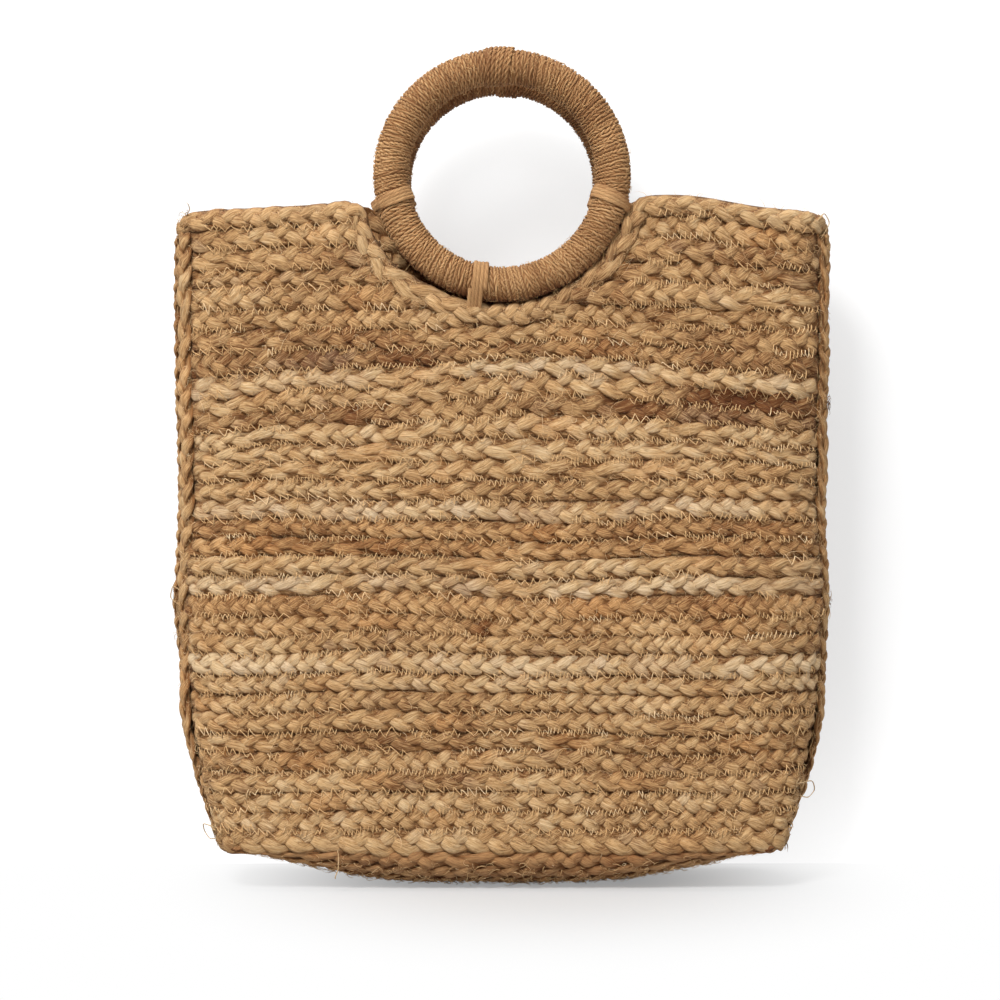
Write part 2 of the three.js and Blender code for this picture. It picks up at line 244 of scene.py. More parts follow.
def shoulder_ends(height, way, turned, notch_height, off_notch, off_side=0.0):
    """Start and end of a row or seam beside the notch, which is as wide as at notch_height"""
    near = math.sqrt((NOTCH + ROW + 1.2) ** 2 - (NOTCH_Z - notch_height) ** 2) + off_notch
    far = seam_side(height, way, turned) - off_side
    return sorted((way * near, way * far))


def bell(value, middle, half):
    """One at the middle, falling away to either side"""
    return np.exp(-(((value - middle) / half) ** 2))


def wander(s, z):
    """How far the rows stray from level: fanned out under the notch, held at the edge and rim"""
    held = smooth((z - 34) / 60) * smooth((392 - z) / 70)
    side = 1 - smooth((np.abs(s) - 120) / 75)
    s_middle, z_middle = FAN_MIDDLE
    arch = np.cos(clamp(np.abs(s - s_middle) / FAN_REACH) * math.pi / 2) ** 2 - 0.6
    fan = FAN * arch * bell(z, z_middle, np.where(z > z_middle, 30, 42))
    slow = 1.5 * np.sin(s / 47 + z / 61 + 0.8) + 0.9 * np.sin(s / 23 - z / 38 + 2.1)
    return held * (fan + side * slow)


def raised(s, z, turned):
    """How much higher the front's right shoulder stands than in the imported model"""
    up = 0.0 if turned else RAISED
    return up * bell(s, RAISED_MIDDLE, RAISED_LENGTH) * smooth((z - 330) / 70)


def billow(s, z):
    """How far the soft wall bulges out or in"""
    held = smooth((z - 30) / 50) * smooth((350 - z) / 60)
    wave = 1.3 * np.sin(s / 58 + 1.2) * np.sin(z / 49 + 0.4) + 0.7 * np.sin(s / 21 + z / 33)
    sunken = DENT * bell(s, DENT_MIDDLE[0], DENT_SIZE[0]) * bell(z, DENT_MIDDLE[1], DENT_SIZE[1])
    return held * wave - sunken


def base_middle(u, v):
    """Middle surface of the base: share of the half length, and millimetres across"""
    half = BASE_ROWS * ROW / 2
    turn = clamp((np.abs(v) - FLAT_WIDTH) / (half - FLAT_WIDTH)) * math.pi / 2
    y = np.minimum(np.abs(v), FLAT_WIDTH) + (BASE_DEPTH - FLAT_WIDTH) * np.sin(turn)
    x = u * (HALF_WIDTH - TAPER - 5 * np.abs(v / half) ** 6)
    out = np.clip((np.abs(x) - FLAT_LENGTH) / (RISEN_LENGTH - FLAT_LENGTH), 0.0, 1.2)
    side_rise = EDGE - WALL / 2 - 0.7
    z = WALL / 2 + side_rise * (1 - np.cos(turn)) + BASE_RISE * out**2 * np.cos(turn)
    return stacked(x, np.sign(v) * y, z)


def base_point(u, v, out):
    """The same point moved outwards, less where the base thins towards its ends"""
    half = BASE_ROWS * ROW / 2 - 0.5
    u0 = np.clip(u, -0.99, 0.99)
    v0 = np.clip(v, -half, half)
    along = base_middle(u0 + 0.01, v0) - base_middle(u0 - 0.01, v0)
    across = base_middle(u0, v0 + 0.5) - base_middle(u0, v0 - 0.5)
    at = base_middle(u, v)
    thin = clamp((np.abs(at[..., 0]) - THIN_LENGTH) / (RISEN_LENGTH - THIN_LENGTH))
    depth = np.where(out > 0, out * (1 - 0.5 * thin), out)
    return at + unit(np.cross(across, along)) * depth[..., None]


class RimPath:
    """Middle line of the rim braid in the panel's plane, from the left end to the right"""

    def __init__(self, turned):
        self.ease = 0.0 if turned else FRONT_EASE
        self.turned = turned
        bend = CORNER - ROW / 2 + 0.2
        low = RIM_LINE - bend
        side = math.sqrt((NOTCH + CORNER) ** 2 - (NOTCH_Z - low) ** 2)
        turn = math.atan2(NOTCH_Z - low, side)
        end = WALLS.reach(RIM_LINE) + 1.2
        quarter = math.pi / 2

        def arc(x, z, radius, start, stop):
            at = np.linspace(start, stop, 60)
            return stacked(x + radius * np.cos(at), z + radius * np.sin(at))

        def line(a, b):
            at = np.linspace(a, b, 80)
            return stacked(at, np.full_like(at, RIM_LINE))

        notch = arc(0, NOTCH_Z, NOTCH + ROW / 2 - 0.2, turn - 2 * quarter, -turn)
        pieces = [
            line(-end, -side),
            arc(-side, low, bend, quarter, turn),
            notch,
            arc(side, low, bend, 2 * quarter - turn, quarter),
            line(side, end),
        ]
        self.line = np.concatenate([pieces[0]] + [piece[1:] for piece in pieces[1:]])
        self.run = run_of(*self.line.T)
        self.length = self.run[-1]

    def flat(self, p):
        x = np.interp(p, self.run, self.line[:, 0])
        z = np.interp(p, self.run, self.line[:, 1])
        return x, z

    def place(self, p, across, out):
        x0, z0 = self.flat(p - 0.8)
        x1, z1 = self.flat(p + 0.8)
        x, z = self.flat(p)
        way = unit(stacked(x1 - x0, z1 - z0))
        # Inside the notch the rim is eased from the hoop, more on the left, and the whole notch
        # is shifted, with the straight ends left where they are
        ease = smooth((z - 350) / 22) * (1 - smooth((np.abs(x) - 78) / 14))
        across = across - self.ease * ease * (1 - 0.85 * smooth((x + 35) / 60))
        moved = 1 - smooth((np.abs(x) - 70) / 50)
        x = x - way[..., 1] * across + NOTCH_SHIFT[0] * moved
        z = z + way[..., 0] * across + NOTCH_SHIFT[1] * moved
        z = z + raised(x, z, self.turned)
        rolled_back = 0.09 * np.maximum(0, across - 1.0) ** 2
        return WALLS.point(x, z, out - rolled_back)


RIMS = {"front": RimPath(False), "back": RimPath(True)}


def row_place(height, turned):
    """Lays a row on the wall: run along it, across it and outwards"""

    def place(p, across, out):
        z = height + across
        return WALLS.point(p, z + wander(p, z) + raised(p, z, turned), out + billow(p, z))

    return place


def gusset_place(side, lane):
    """Lays an upright braid down the side, left (-1) or right (1); lane -1 is the front one"""

    def place(p, across, out):
        sway = 0.8 * np.sin(p / 27 + lane) + 0.5 * np.sin(p / 11 + 2 * lane)
        s = side * (WALLS.reach(p) + lane * ROW + GUSSET_BACK[side]) + across
        return WALLS.point(s, p, out + sway * 0.6 + 1.5)

    return place


def base_place(middle):
    """Lays a row lengthwise on the base"""

    def place(p, across, out):
        return base_point(p / (HALF_WIDTH - TAPER), middle + across, out)

    return place


# Tubes: every strand, thread, turn of twine and stray fibre is one closed tube

TEMPLATES = {}
# Thickness of a tube that is laid flat on a surface points out of it
UP = (0.0, 0.0, 1.0)
# Each tube starts this much further along in the fibres' pattern than the one before
NEXT_TUBE = 211.0
# How far out of the braid's middle a strand lies before it is free of the painted shade
DEEP = 2.1


def made_mesh(bm, name):
    mesh = bpy.data.meshes.new(name)
    bm.to_mesh(mesh)
    bm.free()
    return mesh


def made_object(name, data, place=(0.0, 0.0, 0.0), turn=(0.0, 0.0, 0.0)):
    thing = bpy.data.objects.new(name, data)
    thing.location, thing.rotation_euler = place, turn
    bpy.context.scene.collection.objects.link(thing)
    return thing


def tube_template(stations, sides):
    """A grid rolled up and closed at its seam and ends, to be bent along a path"""
    key = (stations, sides)
    if key not in TEMPLATES:
        bm = bmesh.new()
        bmesh.ops.create_grid(bm, x_segments=stations - 1, y_segments=sides, size=1.0)
        for vert in bm.verts:
            turn = math.pi * (vert.co.y + 1)
            vert.co = ((vert.co.x + 1) / 2, math.cos(turn), math.sin(turn))
        bmesh.ops.remove_doubles(bm, verts=bm.verts, dist=1e-5)
        ends = [edge for edge in bm.edges if edge.is_boundary]
        bmesh.ops.holes_fill(bm, edges=ends, sides=0)
        bmesh.ops.recalc_face_normals(bm, faces=bm.faces)
        mesh = made_mesh(bm, f"tube_{stations}_{sides}")
        co = np.empty(len(mesh.vertices) * 3)
        mesh.vertices.foreach_get("co", co)
        co = co.reshape(-1, 3)
        station = np.rint(co[:, 0] * (stations - 1)).astype(int)
        TEMPLATES[key] = (mesh, station, co[:, 1], co[:, 2])
    return TEMPLATES[key]


class Tubes:
    """Collects tubes and makes one piece of them"""

    def __init__(self):
        self.templates = []
        self.points = []
        self.lays = []
        self.dyes = []

    def add(
        self, path, up, width, thick, tone, red=0.0, place=None, sides=8, deep=0.0, crest=None
    ):
        """Adds one tube along a path, or many along paths of one length, in millimetres.

        up is the direction of each section's thickness, and place lays the finished tubes on a
        surface. deep is how far out a tube's surface has to lie to be free of the painted shade,
        which darkens a braid towards its middle and at the strands' edges, and crest is the turn of
        each section's side that stands out of the painted shade laid in a twine's crevices.
        """
        path = path.reshape(-1, *path.shape[-2:])
        count, stations = shape = path.shape[:2]
        mesh, station, cos, sin = tube_template(stations, sides)

        def at_corners(value):
            """What each corner of the tube has of a value along the path"""
            return np.broadcast_to(value, shape)[:, station]

        tangent = unit(np.gradient(path, axis=1))
        side = unit(np.cross(np.broadcast_to(up, path.shape), tangent))
        proud = np.cross(tangent, side)
        wide, high = 0.5 * at_corners(width) * cos, 0.5 * at_corners(thick) * sin
        points = path[:, station] + side[:, station] * wide[..., None]
        points += proud[:, station] * high[..., None]
        steps = np.linalg.norm(np.diff(path, axis=1), axis=-1)
        run = np.concatenate([np.zeros((count, 1)), np.cumsum(steps, axis=1)], axis=1)[:, station]
        run = run + NEXT_TUBE * (np.arange(count)[:, None] + 7 * len(self.points))
        lay = stacked(run, wide, high)
        shade = np.zeros(run.shape)
        # Painted shade, darker towards the braid's middle and at the edges of each strand
        if deep:
            low = 1 - smooth(np.abs(points[..., 2]) / deep)
            shade = clamp(low + 0.8 * smooth((np.abs(cos) - 0.6) / 0.4))
        # Painted shade on the side of each section turned away from its crest
        if crest is not None:
            facing = cos * at_corners(np.cos(crest)) + sin * at_corners(np.sin(crest))
            shade = smooth((0.35 - facing) / 1.1)
        tones = at_corners(tone)
        # A tone below nothing adds to the painted shade
        shade = clamp(shade - np.minimum(0, tones))
        reds = clamp(0.5 + 0.5 * at_corners(red))
        # The dye attribute holds tone, redness, painted shade and a constant one
        dye = stacked(clamp(tones), reds, shade, np.ones_like(shade))
        if place:
            points = place(points[..., 0], points[..., 1], points[..., 2])
        self.templates.append((mesh, count))
        self.points.append(points.reshape(-1, 3))
        self.lays.append(lay.reshape(-1, 3))
        self.dyes.append(dye.reshape(-1, 4))

    def finish(self, name, material, body, slot, nodes=(), turned=False):
        """Makes the piece, turned half round for the back, and lets it stand for its CAD nodes"""
        bm = bmesh.new()
        for mesh, count in self.templates:
            for _ in range(count):
                bm.from_mesh(mesh)
        mesh = made_mesh(bm, name)
        points = np.concatenate(self.points) * MM
        if turned:
            points[:, :2] *= -1
        mesh.vertices.foreach_set("co", points.ravel())
        lay = mesh.attributes.new("lay", "FLOAT_VECTOR", "POINT")
        lay.data.foreach_set("vector", np.concatenate(self.lays).ravel())
        # The dye attribute carries the painted shade too, in its third channel
        dye = mesh.attributes.new("dye", "FLOAT_COLOR", "POINT")
        dye.data.foreach_set("color", np.concatenate(self.dyes).ravel())
        bm = bmesh.new()
        bm.from_mesh(mesh)
        if bm.calc_volume(signed=True) < 0:
            bmesh.ops.reverse_faces(bm, faces=bm.faces)
        bm.to_mesh(mesh)
        bm.free()
        mesh.shade_smooth()
        mesh.materials.append(material)
        piece = made_object(name, mesh)
        if body:
            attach(piece, body)
        if nodes:
            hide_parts(*nodes)
        return piece


# Dye lots that run along whole rows: row counted from below, half height in rows, tone, and how
# much redder, or greyer where it is less than nothing
DYE_LOTS = (
    (25, 0.7, 0.2, -0.1),
    (21.3, 1.1, 0.2, 0),
    (14.2, 0.7, 0.2, -0.14),
    (9.8, 0.9, 0.26, -0.1),
    (26.2, 0.8, -0.24, 0.1),
    (16.4, 0.8, -0.14, 0.32),
    (23.1, 0.5, -0.2, 0),
    (20.4, 0.4, -0.1, 0.06),
    (19.6, 0.5, 0.12, 0.04),
    (18.1, 0.5, 0.1, -0.13),
    (13.4, 0.4, -0.14, 0.12),
    (12.6, 0.6, -0.04, 0.25),
    (6.4, 1, -0.08, 0.05),
    (2.6, 0.8, 0.1, 0),
    (30, 2.6, -0.1, 0),
)
# Rows of longer lobes than most, and their period
LONG_LOBES = {25: 56, 21: 54, 20: 62, 14: 50}
# Darker patches: place along the row, height, half length, half height, tone, red. The first
# lies on the dent and is painted shade in its hollow; the others are darker, redder or greyer.
STAINS_AND_DENT_SHADE = (
    (146, 297, 34, 5, -1.2, 0.2),
    (120, 286, 65, 5, -0.2, -0.1),
    (-95, 319, 60, 8, -0.14, -0.22),
    (-62, 326, 16, 6, -0.35, 0.3),
    (-12, 154, 6, 5, -0.7, 0.5),
    (-76, 209, 18, 5, -0.3, 0.6),
    (-140, 209, 26, 7, -0.1, 0.3),
    (130, 163, 20, 7, -0.2, 0.3),
    (150, 243, 30, 6, -0.12, 0.3),
    (-20, 96, 45, 8, -0.15, 0),
)


def dye_and_dent_shade(row, p, height):
    """Tone and redness along a row, with the painted shade in the dent"""
    tone, red = 0.5, 0.03
    for middle, half, shift, redder in DYE_LOTS:
        near = bell(row, middle, half)
        tone += shift * near
        red += redder * near
    for s, z, long, high, shift, redder in STAINS_AND_DENT_SHADE:
        near = bell(p, s, long) * bell(height, z, high)
        tone = tone + shift * near
        red = red + redder * near
    return tone, red


class Lay:
    """How one braid lies: its dye, its boldness, and which way it is tipped

    Each braid draws its chances from a seed of its own, so no braid changes with another.
    """

    def __init__(self, seed, row=None, tone=0.5, red=0.08, period=None, tilt=0.0, proud=0.0):
        self.chance = np.random.default_rng(seed)
        self.row, self.tone, self.red = row, tone, red
        self.bold = self.chance.uniform(0.88, 1.14)
        self.period = period
        self.tilt = tilt + self.chance.normal(0, 0.11)
        self.proud = proud + 0.35 + self.chance.normal(0, 0.5)
        self.tuck = 0.0
        self.wide = 1.0


def add_braid(tubes, place, start, end, braid, lay):
    """One flat three-strand braid from start to end of its place"""
    chance = lay.chance
    width, thick, rise = braid.strand_width / MM, braid.strand_thickness / MM, braid.rise / MM
    arched = braid.arched / MM
    bed_width = braid.bed_width / MM * lay.wide
    swing = braid.swing / MM * lay.wide * lay.bold
    width *= lay.wide * lay.bold
    period = lay.period or braid.period / MM * chance.uniform(0.76, 1.22)
    stations = max(10, round((end - start) / (braid.step / MM)) + 1)
    p = np.linspace(start, end, stations)
    ripple = ripples(chance, p)
    phase = chance.uniform(0, math.tau) + math.tau * ripple(130, 0.14)
    tone, red = lay.tone, lay.red
    if lay.row is not None:
        tone, red = dye_and_dent_shade(lay.row, p, EDGE + (lay.row - 0.5) * ROW)
    tone = tone + ripple(210, 0.1) + ripple(70, 0.06)
    red = red + np.maximum(0, ripple(110, 0.36) - 0.2)
    belly = 1 + ripple(60, 0.07)
    drift = ripple(120, 0.7) * (lay.row is not None)
    tilt = lay.tilt + ripple(90, 0.06)
    close = np.minimum(p - start, end - p)
    # Painted shade at the braid's ends, where it tucks under its neighbours
    tone = tone - 0.25 * (1 - smooth(close / 4))
    proud = lay.proud + ripple(75, 0.35) - lay.tuck * (1 - smooth(close / 12))
    # The bed: flat inside fibres under the strands, so dark that it is painted shade in the holes
    # between them
    bed = np.linspace(start, end, max(6, round((end - start) / 7)))
    bed = stacked(bed, 0 * bed, np.full_like(bed, lay.proud - 0.4))
    tubes.add(bed, UP, bed_width, 1.4, 0.2, 0.1, place, 6)
    for strand in range(3):
        theta = math.tau * (p / period + strand / 3) + phase
        pull = 1 + ripple(50, 0.07)
        zigzag = np.sin(theta) - 0.111 * np.sin(3 * theta) + 0.02 * np.sin(5 * theta)
        across = swing * belly * pull * zigzag + ripple(22, 0.3) + drift
        out = rise * (1 + ripple(40, 0.12)) * np.sin(2 * theta)
        out = out + 0.3 * arched - arched * zigzag**2
        out = out + proud + tilt * across + ripple(26, 0.16)
        crest = np.abs(np.sin(2 * theta)) ** 0.8
        wide = width * (0.64 + 0.38 * crest) * (1 + ripple(31, 0.1))
        high = thick * (0.88 + 0.14 * crest) * (1 + ripple(28, 0.08))
        taper = 0.55 + 0.45 * smooth(close / 3.5)
        tones = tone + chance.normal(0, 0.04) + ripple(19, 0.075)
        path = stacked(p, across, out)
        reds = red + ripple(38, 0.07)
        sizes = wide * taper, high * taper
        tubes.add(path, UP, *sizes, tones, reds, place, braid.sides, deep=DEEP)


# Materials

REDDER = (0.98, 0.72, 0.5, 1.0)
# Colour towards which the painted shade and the fibres' dark splits darken the jute
SHADED = (0.38, 0.22, 0.09, 1.0)
# Scales of the fibres along a strand and across it
FINE, BUNDLES, SPLITS = (0.13, 1.0), (0.07, 0.36), (0.06, 0.6)


class Shading:
    """Adds nodes to the tree of a material, a node group or the world"""

    def __init__(self, tree):
        self.tree = tree

    def add(self, kind, inputs=(), **settings):
        """One node; its inputs, by name or in order, are linked to sockets or set to values"""
        node = self.tree.nodes.new(f"ShaderNode{kind}")
        for name, value in settings.items():
            setattr(node, name, value)
        self.feed(node, inputs)
        return node

    def feed(self, node, inputs):
        for key, value in inputs.items() if isinstance(inputs, dict) else enumerate(inputs):
            if isinstance(value, bpy.types.NodeSocket):
                self.tree.links.new(value, node.inputs[key])
            else:
                node.inputs[key].default_value = value

    def maths(self, operation, *inputs, clamped=False):
        return self.add("Math", inputs, operation=operation, use_clamp=clamped).outputs[0]

    def mixed(self, blend, factor, a, b):
        colours = {0: factor, 6: a, 7: b}
        return self.add("Mix", colours, data_type="RGBA", blend_type=blend).outputs[2]

    def noise(self, vector, scale, detail, rough=0.55):
        inputs = {"Vector": vector, "Scale": scale, "Detail": detail, "Roughness": rough}
        return self.add("TexNoise", inputs).outputs["Fac"]


def fibre_group():
    """Node group of jute fibres: streaks along the lay, the strand's tone and its painted shade"""
    name = "Jute fibre"
    if name in bpy.data.node_groups:
        return bpy.data.node_groups[name]
    group = bpy.data.node_groups.new(name, "ShaderNodeTree")
    for way, kind, labels in (
        ("INPUT", "Vector", ("Lay",)),
        ("INPUT", "Color", ("Dye", "Shade", "Body", "Pale")),
        ("INPUT", "Float", ("Fibres", "Streaks", "Depth", "Dryness", "Twist")),
        ("OUTPUT", "Color", ("Color",)),
        ("OUTPUT", "Float", ("Roughness", "Height")),
    ):
        for label in labels:
            group.interface.new_socket(label, in_out=way, socket_type=f"NodeSocket{kind}")
    shading = Shading(group)
    add, maths, mixed, noise = shading.add, shading.maths, shading.mixed, shading.noise
    given = group.nodes.new("NodeGroupInput").outputs
    result = group.nodes.new("NodeGroupOutput")

    run, side, proud = add("SeparateXYZ", [given["Lay"]]).outputs
    turned = maths("MULTIPLY_ADD", run, given["Twist"], maths("ARCTAN2", proud, side))
    cosine, sine = maths("COSINE", turned), maths("SINE", turned)
    squares = maths("MULTIPLY_ADD", side, side, maths("MULTIPLY", proud, proud))
    far = maths("MULTIPLY", maths("SQRT", squares), given["Fibres"])

    def stretched(along, across):
        """The lay, untwisted, with its own scale along the strand and across it"""
        reach = maths("MULTIPLY", far, across)
        pairs = ((run, along), (reach, cosine), (reach, sine))
        return add("CombineXYZ", [maths("MULTIPLY", *pair) for pair in pairs]).outputs[0]

    fine = noise(stretched(*FINE), 1.0, 4.0, 0.65)
    bundles = noise(stretched(*BUNDLES), 1.0, 2.0)
    off = maths("ABSOLUTE", maths("SUBTRACT", noise(stretched(*SPLITS), 1.0, 1.0), 0.5))
    span = {"Value": off, "From Min": 0.0, "From Max": 0.035, "To Min": 1.0, "To Max": 0.0}
    splits = add("MapRange", span, interpolation_type="SMOOTHSTEP").outputs["Result"]
    patch = noise(add("TexCoord").outputs["Object"], 34.0, 3.0, 0.5)

    # The dye carries tone, redness and the painted shade
    tone, red, shade = add("SeparateColor", [given["Dye"]]).outputs
    streak, band, patchy = (maths("SUBTRACT", part, 0.5) for part in (fine, bundles, patch))
    for part, share in ((streak, given["Streaks"]), (band, 0.55), (patchy, 0.35)):
        tone = maths("MULTIPLY_ADD", part, share, tone)
    low = maths("MULTIPLY", tone, 2.0, clamped=True)
    high = maths("MULTIPLY_ADD", tone, 2.0, -1.0, clamped=True)
    color = mixed("MIX", low, given["Shade"], given["Body"])
    color = mixed("MIX", high, color, given["Pale"])
    redder = maths("MULTIPLY_ADD", red, 2.0, -1.0, clamped=True)
    color = mixed("MULTIPLY", redder, color, REDDER)
    greyer = maths("MULTIPLY_ADD", red, -4.0, 2.0, clamped=True)
    inputs = {"Saturation": 0.6, "Fac": greyer, "Color": color}
    color = add("HueSaturation", inputs).outputs["Color"]
    # Painted shade, scaled by its strength, and the dark splits between fibres
    dark = maths("MULTIPLY", shade, given["Depth"], clamped=True)
    dark = maths("MAXIMUM", dark, maths("MULTIPLY", splits, 0.45))
    color = mixed("MULTIPLY", dark, color, SHADED)
    rough = maths("MULTIPLY_ADD", band, -0.25, given["Dryness"], clamped=True)
    height = maths("MULTIPLY_ADD", bundles, 0.7, fine)
    height = maths("MULTIPLY_ADD", splits, -0.35, height)
    shading.feed(result, {"Color": color, "Roughness": rough, "Height": height})
    return group


def linear(color):
    """A colour as it is picked on screen, for a shader's socket"""
    parts = [c / 12.92 if c <= 0.04045 else ((c + 0.055) / 1.055) ** 2.4 for c in color]
    return (*parts, 1.0)


def new_material(name):
    """A material and what adds nodes to it"""
    material = bpy.data.materials.new(name)
    material.use_nodes = True
    return material, Shading(material.node_tree)


BRAIDED = {"Fibres": 1.7, "Streaks": 1.8, "Depth": 0.8, "Dryness": 0.82, "Twist": 0.07}
TWISTED = {"Fibres": 3.0, "Streaks": 1.0, "Depth": 1.0, "Dryness": 0.82, "Twist": 0.5}
# Kinds of jute: name, darkest, middle and palest colour, relief in millimetres, fibre settings
# with the strength of the painted shade
KINDS = {
    "braid": ("Braided jute", "shade", "body", "pale", 0.7, BRAIDED),
    "rim": ("Rim jute", "shade", "rim", "pale", 0.7, BRAIDED),
    "base": ("Base jute", "shade", "base", "body", 0.7, BRAIDED),
    "twine": ("Jute twine", "shade", "twine", "twine_pale", 0.2, TWISTED),
    "yarn": ("Lashing yarn", "shade", "yarn", "twine_pale", 0.2, TWISTED),
    "thread": ("Sewing thread", "body", "thread", "thread_pale", 0.1, TWISTED),
}


def jute(context, kind):
    """Material of one kind of jute, from the fibre group"""
    name, *dyes, relief, settings = KINDS[kind]
    if name in bpy.data.materials:
        return bpy.data.materials[name]
    material, shading = new_material(name)
    colours = [linear(getattr(context.scene.jute_colours, dye)) for dye in dyes]
    inputs = {**dict(zip(("Shade", "Body", "Pale"), colours)), **settings}
    inputs["Lay"] = shading.add("Attribute", attribute_name="lay").outputs["Vector"]
    inputs["Dye"] = shading.add("Attribute", attribute_name="dye").outputs["Color"]
    fibres = shading.add("Group", inputs, node_tree=fibre_group()).outputs
    bump = {"Height": fibres["Height"], "Strength": 1.0, "Distance": relief * MM}
    surface = {
        "Base Color": fibres["Color"],
        "Roughness": fibres["Roughness"],
        "Normal": shading.add("Bump", bump).outputs["Normal"],
        "Specular IOR Level": 0.18,
        "Sheen Weight": 0.03,
        "Sheen Roughness": 0.5,
    }
    shading.feed(material.node_tree.nodes["Principled BSDF"], surface)
    return material


# Properties


def length(label, words, default, low=0.0):
    return FloatProperty(
        name=label, description=words, default=default * MM, min=low, unit="LENGTH", precision=5
    )


def number(label, words, default, low=0):
    return IntProperty(name=label, description=words, default=default, min=low)


def picked(label, words, default):
    return FloatVectorProperty(
        name=label, description=words, default=default, size=3, min=0, max=1, subtype="COLOR_GAMMA"
    )


class JuteBraid(bpy.types.PropertyGroup):
    """Sizes of the flat three-strand braid"""

    strand_width: length("Strand Width", "Width of one strand, flat on the wall", 7.5)
    strand_thickness: length("Strand Thickness", "Thickness of one strand", 2.9)
    swing: length("Swing", "How far a strand swings from the braid's middle line", 3.5)
    rise: length("Rise", "How far a strand rises out of the braid's middle", 1.4)
    arched: length("Arch", "How much lower a braid's edges lie than its middle", 0.75)
    bed_width: length("Bed Width", "Width of the flat inside fibres under the strands", 12.4)
    period: length("Period", "Length in which a strand comes back to its place", 42.0, 0.01)
    rim_period: length("Rim Period", "The same length in the bolder rim braid", 43.0, 0.01)
    step: length("Step", "Length of one step of the mesh along a strand", 1.9, 0.0005)
    sides: IntProperty(name="Sides", description="Sides of a strand", default=8, min=5, max=16)


class JuteTwine(bpy.types.PropertyGroup):
    """Sizes of the twine on the hoops and of the sewing thread"""

    twine: length("Twine", "Thickness of the two-ply twine round the hoops", 2.2)
    twist: length("Twist", "Length in which the plies of the twine turn once", 8.6, 0.002)
    turns: number("Turns", "Turns of twine on one hoop", 184, 8)
    lean: length("Lean", "How far a turn leans round the tube", 1.9)
    splice_turns: number("Splice Turns", "Turns on top", 6, 1)
    thread: length("Thread", "Thickness of the sewing thread", 0.56)
    stitch: length("Stitch", "Length of one zigzag of the thread", 5.2, 0.001)
    overcast: length("Overcast", "Length of one close overcast stitch", 2.9, 0.001)
    stitch_reach: length("Stitch Reach", "How far a stitch reaches into each row", 2.2)


class JuteFibres(bpy.types.PropertyGroup):
    """The stray fibres that stand off the braids"""

    panel: number("Panel", "Fibres on a panel", 6200)
    gusset: number("Gusset", "Fibres on a side", 700)
    hoop: number("Hoop", "Fibres on a hoop", 1700)
    base: number("Base", "Frayed fibres on the base", 2000)
    thickness: length("Thickness", "Thickness of a fibre at its root", 0.3)


class JuteColours(bpy.types.PropertyGroup):
    """Colours of the jute"""

    shade: picked("Shade", "Darkest dye lots", (0.47, 0.30, 0.17))
    body: picked("Body", "Most of the braid", (0.78, 0.625, 0.43))
    pale: picked("Pale", "Palest dye lots", (0.89, 0.775, 0.605))
    rim: picked("Rim", "The rim braid", (0.78, 0.63, 0.44))
    base: picked("Base", "The base rows", (0.71, 0.55, 0.38))
    twine: picked("Twine", "Twine on the hoops", (0.74, 0.58, 0.40))
    yarn: picked("Yarn", "Yarn of the lashings", (0.74, 0.58, 0.40))
    twine_pale: picked("Pale Twine", "Palest fibres of the twine", (0.86, 0.71, 0.52))
    thread: picked("Thread", "Sewing thread and stray fibres", (0.88, 0.72, 0.51))
    thread_pale: picked("Pale Thread", "Palest thread and fibres", (0.96, 0.85, 0.68))
    cane: picked("Cane", "The hoops' core", (0.80, 0.68, 0.50))


class JuteStage(bpy.types.PropertyGroup):
    """Floor, light and camera"""

    distance: length("Camera Distance", "From the camera to the front panel", 1300.0, 0.1)
    view_width: length("View Width", "Width of the view at the front panel", 602.0, 0.1)
    key: FloatProperty(name="Key", description="Key lamp", default=69.0, unit="POWER")
    fill: FloatProperty(name="Fill", description="Fill lamp", default=5.0, unit="POWER")
    top: FloatProperty(name="Top", description="Overhead lamp", default=23.0, unit="POWER")
    sky: FloatProperty(name="Sky", description="Light from all round", default=0.32, min=0)
    white: BoolProperty(name="White", description="White surroundings", default=True)


# Pieces


def two_rows(first):
    """Rows of a band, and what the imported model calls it"""
    last = min(first + 1, FULL_ROWS)
    return range(first, last + 1), f"braid_rows_{first:02d}_{last:02d}"


def braid_piece(context, node, kind, slot, rows, turned=False):
    """Makes one piece of rows, each given by its place, start, end and lay"""
    tubes = Tubes()
    for place, start, end, lay in rows:
        add_braid(tubes, place, start, end, context.scene.jute_braid, lay)
    tubes.finish(f"{node}_strands", jute(context, kind), "bag", slot, [node], turned)


FACES = (("front", False), ("back", True))
SIDES = ((-1, "left"), (1, "right"))
OPPOSITE = {"left": "right", "right": "left"}


def seen_side(side, turned):
    """What a panel's own left or right is called, which is as seen from the front"""
    return OPPOSITE.get(side, side) if turned else side


class JUTE_OT_panel_rows(bpy.types.Operator):
    """Braid the rows that run right across both panels"""

    bl_idname = "jute_tote.panel_rows"
    bl_label = "Panel Rows"

    def execute(self, context):
        groups = [((1,), "bottom_edge_braid")]
        groups += [two_rows(first) for first in range(2, FULL_ROWS + 1, 2)]
        for face, turned in FACES:
            for rows, name in groups:
                laid = [self.row(context, row, turned) for row in rows]
                braid_piece(context, f"{face}_{name}", "braid", "jute_braid", laid, turned)
        return {"FINISHED"}

    def row(self, context, row, turned):
        """One row from side to side, the lowest bolder and tipped outwards"""
        height = EDGE + (row - 0.5) * ROW
        lay = Lay(100 * row + turned, row, period=LONG_LOBES.get(row))
        if row == 1:
            period = context.scene.jute_braid.rim_period / MM
            lay = Lay(100 + turned, row, period=period, tilt=-0.22)
            lay.wide = 1.12
        lay.tuck = 1.2
        start, end = -seam_side(height, -1, turned), seam_side(height, 1, turned)
        return row_place(height, turned), start, end, lay


